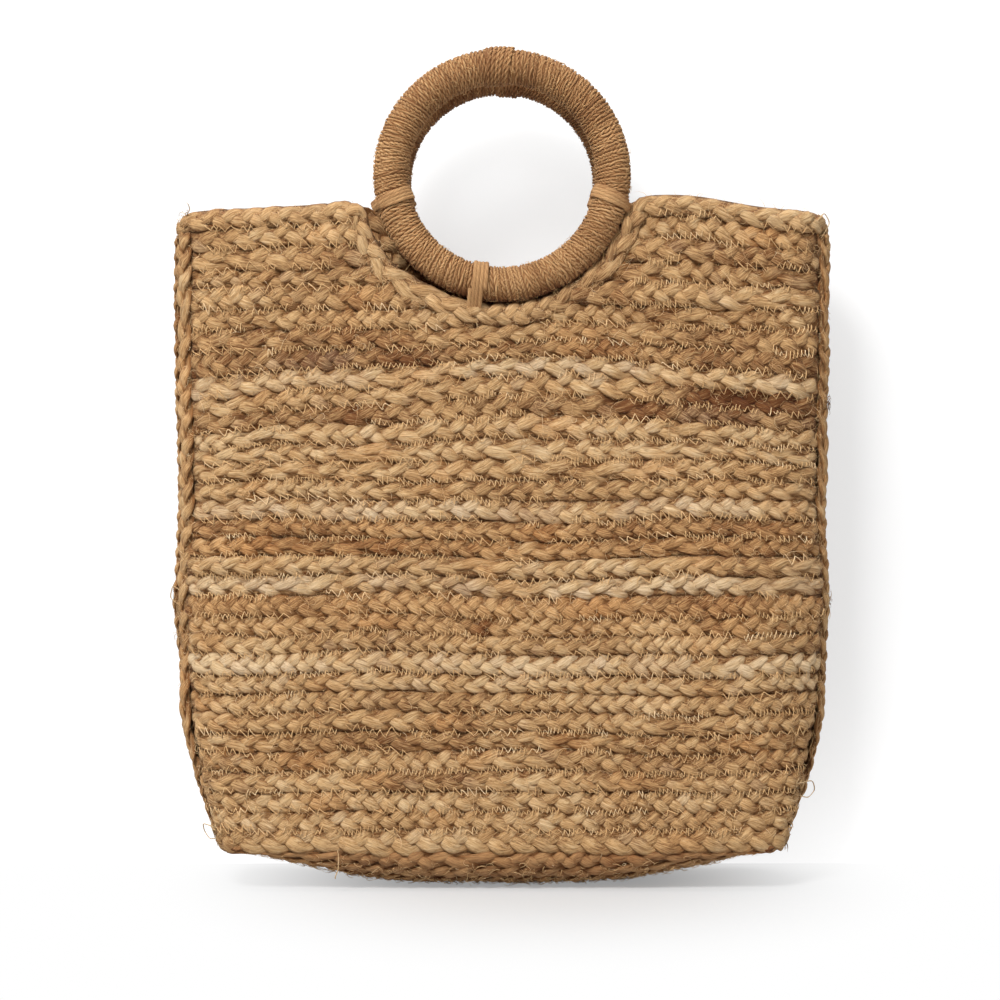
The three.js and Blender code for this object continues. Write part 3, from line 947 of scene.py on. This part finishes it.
class JUTE_OT_shoulder_rows(bpy.types.Operator):
    """Braid the short rows at each side of the notches"""

    bl_idname = "jute_tote.shoulder_rows"
    bl_label = "Shoulder Rows"

    def execute(self, context):
        for face, turned in FACES:
            for way, side in SIDES:
                laid = []
                for row in range(FULL_ROWS + 1, FULL_ROWS + SHORT_ROWS + 1):
                    height = NECK + (row - FULL_ROWS - 0.5) * ROW
                    start, end = shoulder_ends(height, way, turned, height - 0.45 * ROW, -2.0)
                    lay = Lay(5000 + 100 * row + 10 * turned + way, row)
                    lay.tuck = 1.5
                    laid.append((row_place(height, turned), start, end, lay))
                node = f"{face}_{seen_side(side, turned)}_shoulder_rows"
                braid_piece(context, node, "braid", "jute_braid", laid, turned)
        return {"FINISHED"}


class JUTE_OT_rim_braids(bpy.types.Operator):
    """Braid the rims that bind the top edges and the notches"""

    bl_idname = "jute_tote.rim_braids"
    bl_label = "Rim Braids"

    def execute(self, context):
        period = context.scene.jute_braid.rim_period / MM
        for face, turned in FACES:
            rim = RIMS[face]
            lay = Lay(9000 + turned, tone=0.49, red=0.06, period=period, proud=1.1)
            lay.wide = 1.05
            laid = [(rim.place, 0.0, rim.length, lay)]
            braid_piece(context, f"{face}_rim_braid", "rim", "rim_braid", laid, turned)
        return {"FINISHED"}


class JUTE_OT_gusset_braids(bpy.types.Operator):
    """Braid the three upright rows that close each side"""

    bl_idname = "jute_tote.gusset_braids"
    bl_label = "Gusset Braids"

    def execute(self, context):
        for way, side in SIDES:
            for lane, place in ((-1, "front"), (0, "middle"), (1, "back")):
                lay = Lay(9100 + 10 * way + lane, tone=0.46, red=0.1)
                laid = [(gusset_place(way, lane), EDGE + 0.3, SHOULDER - 0.3, lay)]
                node = f"{side}_gusset_{place}_braid"
                braid_piece(context, node, "braid", "jute_braid", laid)
        return {"FINISHED"}


class JUTE_OT_base_rows(bpy.types.Operator):
    """Braid the sagging rows of the base"""

    bl_idname = "jute_tote.base_rows"
    bl_label = "Base Rows"

    def execute(self, context):
        groups = (
            ("front_outer", (0, 1)),
            ("front_inner", (2, 3)),
            ("centre", (4,)),
            ("back_inner", (5, 6)),
            ("back_outer", (7, 8)),
        )
        half = HALF_WIDTH - TAPER - 5.0
        for name, rows in groups:
            laid = []
            for row in rows:
                place = base_place((row - BASE_ROWS // 2) * ROW)
                lay = Lay(9300 + row, tone=0.45, red=0.25 if row in (0, BASE_ROWS - 1) else 0.08)
                laid.append((place, -half, half, lay))
            braid_piece(context, f"base_{name}_rows", "base", "base_braid", laid)
        return {"FINISHED"}


def sew(tubes, place, start, end, twine, seed, covered=0.6):
    """Thread over the seam between two rows, in runs of close overcast stitches or of zigzags"""
    chance = np.random.default_rng(seed)
    reach = twine.stitch_reach / MM
    steps = 8
    at = start + chance.uniform(0, 12)
    while at < end - 8:
        run = chance.uniform(12, 60)
        if chance.uniform() > covered:
            at += run * 0.6
            continue
        close = chance.uniform() < 0.5
        pitch = (twine.overcast if close else twine.stitch) / MM * chance.uniform(0.8, 1.25)
        stitches = max(3, int(min(run, end - at) / pitch / 3) * 3)
        count = np.arange(stitches * steps + 1) / steps
        ripple = ripples(chance, count)
        swing = math.tau * count + ripple(5, 0.5)
        height = reach * (1 + ripple(2.6, 0.36)) * (0.85 if close else 1.1)
        across = height * np.sin(swing) + ripple(9, 1.2)
        upright = pitch * chance.uniform(0.0, 0.3)
        p = at + count * pitch - upright * np.sin(swing) + ripple(4, 0.2 * pitch)
        p = p + pitch * chance.uniform(0.02, 0.12) * np.sin(2 * swing + chance.uniform(-1, 1))
        out = (3.1 + 0.9 * np.cos(swing)) if close else (3.4 + 0.25 * np.cos(2 * swing))
        out = out + ripple(3, 0.2)
        ends = np.minimum(count, stitches - count)
        out = out - 2.5 * (1 - smooth(ends / 0.5))
        thick = twine.thread / MM * (1 + ripple(3, 0.15))
        tone = 0.42 + chance.normal(0, 0.15) + ripple(7, 0.22)
        path = stacked(p, across, out)
        tubes.add(path, UP, thick, thick, tone, place=place, sides=3)
        at = p[-1] + chance.uniform(0, 6)


class JUTE_OT_sewing_thread(bpy.types.Operator):
    """Sew the rows together with zigzags of thread"""

    bl_idname = "jute_tote.sewing_thread"
    bl_label = "Sewing Thread"

    def execute(self, context):
        twine = context.scene.jute_twine
        material = jute(context, "thread")
        halves = (("lower", range(1, 15)), ("upper", range(15, FULL_ROWS)))
        for face, turned in FACES:
            chance = np.random.default_rng(7000 + turned)
            for half, seams in halves:
                tubes = Tubes()
                for seam in seams:
                    height = EDGE + seam * ROW
                    start = 1.5 - seam_side(height, -1, turned)
                    end = seam_side(height, 1, turned) - 1.5
                    covered = chance.choice((0.5, 0.75, 0.95))
                    seed = 7000 + seam + 100 * turned
                    sew(tubes, row_place(height, turned), start, end, twine, seed, covered)
                if half == "upper":
                    self.sew_shoulders(tubes, twine, turned)
                name = f"{face}_{half}_sewing_thread"
                tubes.finish(name, material, "bag", "jute_braid", turned=turned)
        return {"FINISHED"}

    def sew_shoulders(self, tubes, twine, turned):
        """Thread over the seams beside the notch"""
        for seam in range(SHORT_ROWS + 1):
            height = NECK + seam * ROW
            level = min(height + 1, SHOULDER - 1)
            for way in (-1, 1):
                start, end = shoulder_ends(height, way, turned, level, 1.0, 1.5)
                seed = 7500 + 10 * seam + way + 100 * turned
                sew(tubes, row_place(height, turned), start, end, twine, seed, 0.75)


def stray_fibres(tubes, place, p, across, rooted, thickness, chance, longest=11.0, tone=0.5):
    """Fibres that start in the braid, leave it and curl over"""
    count = len(p)
    stations = 5
    u = np.linspace(0, 1, stations)[None, :]
    heading = chance.uniform(0, math.tau, (count, 1))
    curl = chance.normal(0, 3.4, (count, 1))
    size = longest * chance.uniform(0.25, 1.0, (count, 1)) ** 1.5
    way = heading + curl * u
    step = size / (stations - 1)
    dp = np.cumsum(np.cos(way) * step, axis=1)
    da = np.cumsum(np.sin(way) * step, axis=1)
    lift = size * chance.uniform(0.03, 0.3, (count, 1))
    out = rooted + lift * np.sin(math.pi * 0.72 * u) ** 1.2
    path = stacked(p[:, None] + dp, across[:, None] + da, out)
    wide = thickness * chance.uniform(0.6, 1.25, (count, 1)) * (1 - 0.65 * u)
    tones = tone + chance.normal(0, 0.2, (count, 1))
    tubes.add(path, (0.05, 0.02, 1.0), wide, wide, tones, place=place, sides=3)


class JUTE_OT_stray_fibres(bpy.types.Operator):
    """Raise stray fibres from the braids and the hoops"""

    bl_idname = "jute_tote.stray_fibres"
    bl_label = "Stray Fibres"

    def execute(self, context):
        fibres = context.scene.jute_fibres
        material = jute(context, "thread")
        thick = fibres.thickness / MM
        for face, turned in FACES:
            tubes = self.panel_fibres(fibres.panel, thick, face, turned)
            tubes.finish(f"{face}_stray_fibres", material, "bag", "jute_braid", turned=turned)
        for way, side in SIDES:
            tubes = self.gusset_fibres(fibres.gusset, thick, way)
            tubes.finish(f"{side}_gusset_fibres", material, "bag", "jute_braid")
        for face, turned in FACES:
            tubes = self.hoop_fibres(fibres.hoop, thick, turned)
            tubes.finish(f"{face}_hoop_fibres", material, f"{face}_handle", "twine", turned=turned)
        tubes = self.base_fibres(fibres.base, thick)
        tubes.finish("base_frayed_fibres", material, "bag", "base_braid")
        return {"FINISHED"}

    def panel_fibres(self, count, thick, face, turned):
        """Fibres from the seams between the rows and from the rim"""
        chance = np.random.default_rng(8000 + turned)
        tubes = Tubes()
        seam = chance.integers(1, FULL_ROWS + SHORT_ROWS, count)
        z = EDGE + seam * ROW + chance.normal(0, 2.4, count)
        s = chance.uniform(-1, 1, count) * (WALLS.reach(z) - 12)
        clear = np.hypot(s, z - NOTCH_Z) > NOTCH + 4
        stray_fibres(tubes, row_place(0.0, turned), s[clear], z[clear], 2.6, thick, chance)
        along = chance.uniform(2, RIMS[face].length - 2, count // 7)
        across = chance.uniform(-5, 5, count // 7)
        stray_fibres(tubes, RIMS[face].place, along, across, 2.8, thick, chance, 8.0)
        return tubes

    def gusset_fibres(self, count, thick, way):
        """Fibres all over the upright braids of one side"""
        chance = np.random.default_rng(8100 + way)
        tubes = Tubes()
        z = chance.uniform(EDGE + 2, SHOULDER, count)
        s = chance.uniform(-GUSSET, GUSSET, count)

        def place(p, across, out):
            return WALLS.point(way * WALLS.reach(p) + across, p, out)

        stray_fibres(tubes, place, z, s, 2.8, thick, chance, 8.0)
        return tubes

    def hoop_fibres(self, count, thick, turned):
        """Fibres all round a wound hoop"""
        chance = np.random.default_rng(8200 + turned)
        tubes = Tubes()
        along = chance.uniform(0, math.tau, count) * HOOP
        round_tube = chance.uniform(0, math.tau, count) * WOUND
        stray_fibres(tubes, hoop_place, along, round_tube, -0.4, thick, chance, 6.0, 0.25)
        return tubes

    def base_fibres(self, count, thick):
        """Frayed fibres from the seams of the base, more of them in front"""
        chance = np.random.default_rng(8300)
        tubes = Tubes()
        x = chance.uniform(-158, 158, count)
        row = chance.choice((-4, -3, -3, -2, -2, -1, 0, 1, 2, 3, 4), count)
        v = (row + 0.5 + chance.normal(0, 0.25, count)) * ROW
        v = np.clip(v, -4.3 * ROW, 4.3 * ROW)
        stray_fibres(tubes, base_lay, x, v, 2.9, thick * 1.5, chance, 10.0, 0.4)
        return tubes


class JUTE_OT_loose_ends(bpy.types.Operator):
    """Leave the tufts, loops and ends of thread that hang from the front"""

    bl_idname = "jute_tote.loose_ends"
    bl_label = "Loose Ends"

    def execute(self, context):
        thick = context.scene.jute_fibres.thickness / MM * 1.4
        thread = context.scene.jute_twine.thread / MM * 1.2
        material = jute(context, "braid")
        chance = np.random.default_rng(8400)
        tubes = Tubes()
        for s, z, count, size, tone in TUFTS:
            p = s + chance.normal(0, 1.6, count)
            height = z + chance.normal(0, 1.6, count)
            rooted = 4.2 if abs(s) > 198 else 3.0
            stray_fibres(tubes, WALLS.point, p, height, rooted, thick, chance, size, tone)
        for line in THREAD_ENDS:
            points = np.array(line, dtype=float)
            knots = np.linspace(0, 1, len(points))
            at = np.linspace(0, 1, 9 * len(points))
            path = stacked(*(np.interp(at, knots, points[:, k]) for k in range(3)))
            for _ in range(6):
                path[1:-1] = (path[:-2] + path[1:-1] + path[2:]) / 3
            tubes.add(path, (0.0, 0.3, 1.0), thread, thread, 0.8, place=WALLS.point, sides=4)
        tubes.finish("front_loose_ends", material, "bag", "jute_braid")
        return {"FINISHED"}


# Tufts: place along the row, height, fibres, length, tone
TUFTS = (
    (-192, 405, 16, 9, 0.5),
    (-176, 30, 22, 9, 0.6),
    (174, 27, 26, 8, 0.4),
    (201.5, 292, 30, 7, 0),
    (205, 170, 14, 9, 0.5),
    (-200, 150, 16, 9, 0.5),
    (-199.5, 172, 18, 9, 0.5),
    (-52, 349, 10, 6, 0.6),
    (180, 58, 14, 12, 0.6),
)
# Ends and loops of thread: place along the row, height, and how far out
THREAD_ENDS = (
    ((-98, 24, 2), (-97, 21, 6), (-97, 14, 8), (-99, 9, 7), (-99, 8, 6)),
    ((176, 62, 2), (186, 64, 8), (190, 57, 10), (184, 53, 8), (177, 56, 2)),
    ((-172, 36, 2), (-180, 38, 8), (-184, 32, 9), (-178, 28, 7), (-172, 30, 2)),
    ((-196, 176, 2), (-203, 181, 6), (-205, 173, 7), (-199, 168, 2)),
    ((188, 398, 2), (196, 408, 4), (200, 402, 6), (194, 392, 3)),
)


def base_lay(p, across, out):
    """Lays a fibre on the base, and flat on the floor where it reaches it"""
    at = base_point(p / (HALF_WIDTH - TAPER), across, out)
    at[..., 2] = np.maximum(at[..., 2], 0.0)
    return at


def radial_at(angle):
    """Direction from the hoop's centre, at an angle round it"""
    return stacked(np.cos(angle), np.zeros_like(angle), np.sin(angle))


def away_at(angle, turn):
    """Direction out of the hoop's tube, at a turn round it"""
    return radial_at(angle) * np.cos(turn)[..., None] + FRONT * np.sin(turn)[..., None]


def hoop_place(p, across, out):
    """Lays a fibre on the hoop: run round it, round its tube and outwards"""
    angle, turn = p / HOOP, across / WOUND
    away = away_at(angle, turn) * (WOUND + out)[..., None]
    return (HOOP_CENTRE + HOOP * radial_at(angle) + away) * WIDER


def wound_twine(tubes, first, last, turns, outer, twine, lean, twist, seed, winding_tone):
    """Two-ply twine laid turn by turn round part of the hoop"""
    chance = np.random.default_rng(seed)
    steps = 36
    t = np.linspace(0, 1, turns * steps + 1)
    turn = math.tau * turns * t
    count = t * turns
    ripple = ripples(chance, count)
    pitch = abs(last - first) / turns
    slant = lean * (1 + ripple(24, 0.25))
    jitter = ripple(3.1, 0.25)
    angle = first + (last - first) * t + (slant * np.cos(turn) + jitter) / HOOP
    radius = outer - twine / 2 + ripple(2.3, 0.1)
    away = away_at(angle, turn)
    along = stacked(-np.sin(angle), np.zeros_like(angle), np.cos(angle))
    path = HOOP_CENTRE + HOOP * radial_at(angle) + away * radius[:, None]
    wind = math.tau * math.tau * radius * count / twist + ripple(7, 0.8)
    wide = 1.3 * pitch * (HOOP + outer * np.cos(turn)) / 2
    high = 0.6 * twine
    # Painted shade: darker towards the hoop's top, and far darker on the outer, downward side of
    # its lower half
    under = smooth(-1.6 * np.minimum(0, np.sin(angle)) * np.cos(turn) - 0.6)
    tone = winding_tone - 0.16 * smooth(np.sin(angle)) - 0.45 * under
    tone = tone + ripple(17, 0.08) + ripple(2.2, 0.08)
    for ply in (0, math.pi):
        side = (wide / 2.6 * np.sin(wind + ply))[:, None] * along
        ahead = (0.2 * twine * np.cos(wind + ply))[:, None] * away
        ply_path = (path + side + ahead) * WIDER
        # crest is each ply's outer side; the sides facing the other ply and the next turns get
        # painted shade
        crest = wind + ply + math.pi / 2
        tubes.add(ply_path, away, wide, high, tone, 0.1, sides=6, crest=crest)
    # A dark tube under the turns: painted shade in the gaps between them
    bed = (HOOP_CENTRE + HOOP * radial_at(np.linspace(first, last, 160))) * WIDER
    size = 2 * (outer - 0.5 * twine)
    tubes.add(bed, FRONT, size, size, 0.1, 0.1, sides=28)


class JUTE_OT_hoop_windings(bpy.types.Operator):
    """Wind both hoops with twine and bind the ends on top"""

    bl_idname = "jute_tote.hoop_windings"
    bl_label = "Hoop Windings"

    def execute(self, context):
        twine = context.scene.jute_twine
        material = jute(context, "twine")
        thick, lean, twist = twine.twine / MM, twine.lean / MM, twine.twist / MM
        top = math.pi / 2
        ends = top + 3.0 / HOOP, top + math.tau - 3.0 / HOOP
        splice_ends = top - 4.6 / HOOP, top + 9.4 / HOOP
        # Part: its ends on the hoop, turns, outside, lean and seed
        parts = (
            ("winding", *ends, twine.turns, WOUND, lean, 9500),
            ("splice", *splice_ends, twine.splice_turns, WOUND + 1.3, -lean, 9600),
        )
        for face, turned in FACES:
            body = f"{face}_handle"
            tone = BACK_WINDING if turned else FRONT_WINDING
            for part, first, last, turns, outer, slant, seed in parts:
                tubes = Tubes()
                seed += turned
                wound_twine(tubes, first, last, turns, outer, thick, slant, twist, seed, tone)
                node = f"{body}_twine_{part}"
                tubes.finish(f"{node}_turns", material, body, "twine", [node], turned)
        return {"FINISHED"}


# Tone of the twine on each hoop; the back's is lower, as painted shade, for it lies in the front's
# shade
FRONT_WINDING = 0.5
BACK_WINDING = 0.36


# Thickness of the lashings' yarn, and how often it goes round
YARN = 1.7
LOOPS = 4
# Lashings: side, the hoop's turn in degrees where each holds it, its place on the rim, and the
# space from loop to loop at the hoop and at the rim
LASHINGS = (
    ("left", 180 + 12.5, -75.5, 411.5, 1.9, 1.2),
    ("right", -12.5, 75.0, 411.5, 1.9, 1.2),
    ("bottom", -102.2, -16.5, 346.5, 2.2, 2.0),
)


def lashing_path(centre, anchor, near_pitch, far_pitch, chance):
    """Loops round both the hoop's tube and the rim, drawn together at the rim"""
    near, far = WOUND + YARN / 2 - 0.1, 2.9
    reach = np.linalg.norm(anchor - centre)
    outward = (anchor - centre) / reach
    front = unit(FRONT + outward * outward[1])
    band = np.cross(outward, front)
    touch = math.acos((near - far) / reach)
    round_hoop = np.linspace(touch, math.tau - touch, 22)
    round_rim = np.linspace(-touch, touch, 10)
    ring = [near * stacked(np.cos(round_hoop), np.sin(round_hoop))]
    back, fore = ring[0][-1], ring[0][0]
    rim = far * stacked(np.cos(round_rim), np.sin(round_rim)) + (reach, 0)
    share = np.linspace(0, 1, 6)[1:-1, None]
    ring += [back + (rim[0] - back) * share, rim, rim[-1] + (fore - rim[-1]) * share]
    ring = np.concatenate(ring)
    path = np.concatenate([ring] * LOOPS + [ring[:1]])
    count = np.arange(len(path)) / len(ring)
    ripple = ripples(chance, count)
    spread = count - LOOPS / 2
    share = clamp(path[:, 0] / reach)
    offset = spread * (near_pitch + (far_pitch - near_pitch) * share)
    offset = offset + ripple(1.3, 0.25)
    path = path * (1 + ripple(0.9, 0.02))[:, None]
    point = centre + outward * path[:, :1] + front * path[:, 1:] + band * offset[:, None]
    middle = centre + outward * np.clip(path[:, :1], 0, reach) + band * offset[:, None]
    return point, unit(point - middle + 1e-6)


class JUTE_OT_lashings(bpy.types.Operator):
    """Lash the hoops to the rims, at both corners and at the bottom of the notch"""

    bl_idname = "jute_tote.lashings"
    bl_label = "Lashings"

    def execute(self, context):
        material = jute(context, "yarn")
        for face, turned in FACES:
            for number, (side, degrees, x, z, near, far) in enumerate(LASHINGS):
                node = f"{face}_{seen_side(side, turned)}_lashing"
                chance = np.random.default_rng(9700 + 10 * number + turned)
                centre = (HOOP_CENTRE + HOOP * radial_at(math.radians(degrees))) * WIDER
                held = np.array([x, -MOUTH_DEPTH, z])
                path, up = lashing_path(centre, held, near, far, chance)
                tubes = Tubes()
                tone = 0.47 + ripples(chance, np.arange(len(path)) / 30)(1.0, 0.12)
                tubes.add(path, up, 1.6 * YARN, YARN, tone, 0.1, sides=8)
                piece = tubes.finish(f"{node}_twine", material, None, "twine", [node], turned)
                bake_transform(piece)
        return {"FINISHED"}


class JUTE_OT_hoop_cores(bpy.types.Operator):
    """Give the hoops' cores the grain of bent cane"""

    bl_idname = "jute_tote.hoop_cores"
    bl_label = "Hoop Cores"

    def execute(self, context):
        cane = linear(context.scene.jute_colours.cane)
        material, shading = new_material("Bent cane")
        place = shading.add("TexCoord").outputs["Object"]
        rings = {"Vector": place, "Scale": 120.0, "Distortion": 3.0, "Detail": 3.0}
        grain = shading.add("TexWave", rings, wave_type="RINGS", rings_direction="Y").outputs["Fac"]
        ramp = shading.add("ValToRGB", [grain])
        dark, pale = ramp.color_ramp.elements
        dark.color, pale.color = (*(c * 0.6 for c in cane[:3]), 1.0), cane
        rough = shading.add("MapRange", {"Value": grain, "To Min": 0.45, "To Max": 0.65})
        bump = shading.add("Bump", {"Height": grain, "Strength": 0.3, "Distance": 0.2 * MM})
        surface = {
            "Base Color": ramp.outputs["Color"],
            "Roughness": rough.outputs["Result"],
            "Normal": bump.outputs["Normal"],
            "Specular IOR Level": 0.4,
        }
        shading.feed(material.node_tree.nodes["Principled BSDF"], surface)
        for face, _ in FACES:
            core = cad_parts[f"{face}_handle_hoop_core"]
            if core.material_slots:
                for held in core.material_slots:
                    held.material = material
            else:
                core.data.materials.append(material)
        return {"FINISHED"}


class JUTE_OT_stage(bpy.types.Operator):
    """Set up the floor, the soft light and the camera"""

    bl_idname = "jute_tote.stage"
    bl_label = "Stage"

    def execute(self, context):
        scene = context.scene
        stage = scene.jute_stage
        scene.view_settings.view_transform = "Standard"
        for sheet in SHEETS:
            self.make_sheet(*sheet)
        self.make_surroundings(scene, stage)
        self.make_lamp("Key", (-0.8, -1.6, 2.1), 0.8, stage.key)
        self.make_lamp("Fill", (1.7, -1.6, 0.7), 1.4, stage.fill)
        self.make_lamp("Top", (-0.3, 0.4, 2.1), 2.0, stage.top)
        data = bpy.data.cameras.new("Camera")
        data.sensor_width = 36.0
        data.lens = data.sensor_width * stage.distance / stage.view_width
        place = (-0.0012, PANEL_FRONT - stage.distance, 0.2328)
        scene.camera = made_object("Camera", data, place, (math.pi / 2, 0.0, 0.0))
        return {"FINISHED"}

    def make_sheet(self, name, place, turn, spread, paint, glow, shares, fade, slant):
        """A pale sheet, which throws no light on the bag unless it lies flat"""
        bm = bmesh.new()
        bmesh.ops.create_grid(bm, x_segments=2, y_segments=2, size=12.0)
        mesh = made_mesh(bm, name)
        mesh.materials.append(self.pale_material(name, paint, glow, shares, fade, slant))
        sheet = made_object(name, mesh, place, (math.radians(turn), 0.0, 0.0))
        sheet.scale = spread
        if turn:
            sheet.visible_shadow = sheet.visible_diffuse = sheet.visible_glossy = False

    def pale_material(self, name, paint, glow, shares, fade, slant):
        """Paint that keeps the shadow and fades to white; it isn't seen from behind or aslant"""
        material, shading = new_material(f"{name} paint")
        material.node_tree.nodes.clear()
        add, maths = shading.add, shading.maths
        place = add("TexCoord").outputs["Object"]
        far = add("VectorMath", [place], operation="LENGTH").outputs["Value"]
        span = dict(zip(("From Min", "From Max", "To Min", "To Max"), (*fade, *shares)))
        span["Value"] = far
        fading = add("MapRange", span, interpolation_type="SMOOTHSTEP").outputs["Result"]
        path = add("LightPath").outputs
        seen = maths("MAXIMUM", path["Is Camera Ray"], path["Is Glossy Ray"])
        matt = add("BsdfDiffuse", {"Color": (paint, paint, paint, 1.0)}).outputs[0]
        white = add("Emission", {"Strength": glow}).outputs[0]
        painted = add("MixShader", [maths("MULTIPLY", seen, fading), matt, white]).outputs[0]
        span = {"Value": add("LayerWeight").outputs["Facing"]}
        span["From Min"], span["From Max"] = slant
        aslant = add("MapRange", span).outputs["Result"]
        hidden = maths("MAXIMUM", aslant, add("NewGeometry").outputs["Backfacing"])
        clear = add("BsdfTransparent").outputs[0]
        surface = add("MixShader", [hidden, painted, clear]).outputs[0]
        add("OutputMaterial", {"Surface": surface})
        return material

    def make_surroundings(self, scene, stage):
        """Soft light from all round, with plain white where the camera looks past the bag"""
        world = scene.world or bpy.data.worlds.new("Surroundings")
        scene.world = world
        world.use_nodes = True
        world.node_tree.nodes.clear()
        shading = Shading(world.node_tree)
        level = 1.0 if stage.white else 0.8
        light, shown = (
            shading.add("Background", [(level, level, level, 1.0), strength]).outputs[0]
            for strength in (stage.sky, 1.0)
        )
        path = shading.add("LightPath").outputs
        seen = shading.maths("MAXIMUM", path["Is Camera Ray"], path["Is Glossy Ray"])
        seen = shading.maths("MAXIMUM", seen, path["Is Transmission Ray"])
        surface = shading.add("MixShader", [seen, light, shown]).outputs[0]
        shading.add("OutputWorld", {"Surface": surface})

    def make_lamp(self, name, place, size, power):
        """A round area lamp that faces the bag's middle"""
        data = bpy.data.lights.new(name, "AREA")
        data.shape, data.size, data.energy = "DISK", size, power
        x, y, z = np.array(place) - LIT
        made_object(name, data, place, (math.atan2(math.hypot(x, y), z), 0.0, math.atan2(x, -y)))


# The panel's front and the point that the lamps face, in metres
PANEL_FRONT = -0.03
LIT = np.array([0.0, 0.0, 0.23])
# Floor and backdrop, in metres: place, turn, spread, paint, glow, the least and full share of the
# glow, how far from the middle and at what slant of the view the sheet fades. The backdrop stands
# close behind the bag and only the camera sees it.
SHEETS = (
    (
        "Floor", (0.02, 0, -0.0004), 0, (0.85, 1, 1), 0.58, 1.0,
        (0.3, 1), (0.06, 0.28), (2, 3),
    ),
    (
        "Backdrop", (0.06, 0.056, 0.22), 90, (1, 0.85, 1), 0.66, 1.3,
        (0.47, 1), (0.16, 0.46), (0.1, 0.3),
    ),
)


class JUTE_PT_tote(bpy.types.Panel):
    """Lists the bag's pieces and their sizes"""

    bl_label = "Jute Tote"
    bl_idname = "JUTE_PT_tote"
    bl_space_type = "VIEW_3D"
    bl_region_type = "UI"
    bl_category = "Jute Tote"

    def draw(self, context):
        scene = context.scene
        for operator in OPERATORS:
            self.layout.operator(operator.bl_idname)
        for group in GROUPS:
            box = self.layout.box()
            settings = getattr(scene, GROUPS[group])
            for label in group.__annotations__:
                box.prop(settings, label)


GROUPS = {
    JuteBraid: "jute_braid",
    JuteTwine: "jute_twine",
    JuteFibres: "jute_fibres",
    JuteColours: "jute_colours",
    JuteStage: "jute_stage",
}
OPERATORS = (
    JUTE_OT_stage,
    JUTE_OT_panel_rows,
    JUTE_OT_shoulder_rows,
    JUTE_OT_rim_braids,
    JUTE_OT_gusset_braids,
    JUTE_OT_base_rows,
    JUTE_OT_sewing_thread,
    JUTE_OT_stray_fibres,
    JUTE_OT_loose_ends,
    JUTE_OT_hoop_windings,
    JUTE_OT_lashings,
    JUTE_OT_hoop_cores,
)


def register():
    for group, name in GROUPS.items():
        bpy.utils.register_class(group)
        setattr(bpy.types.Scene, name, PointerProperty(type=group))
    for operator in OPERATORS:
        bpy.utils.register_class(operator)
    bpy.utils.register_class(JUTE_PT_tote)


def unregister():
    bpy.utils.unregister_class(JUTE_PT_tote)
    for operator in reversed(OPERATORS):
        bpy.utils.unregister_class(operator)
    for group, name in reversed(GROUPS.items()):
        delattr(bpy.types.Scene, name)
        bpy.utils.unregister_class(group)


def main():
    register()
    for operator in OPERATORS:
        group, name = operator.bl_idname.split(".")
        getattr(getattr(bpy.ops, group), name)()
    for mesh, *_ in TEMPLATES.values():
        bpy.data.meshes.remove(mesh)
    TEMPLATES.clear()


if __name__ == "__main__":
    main()
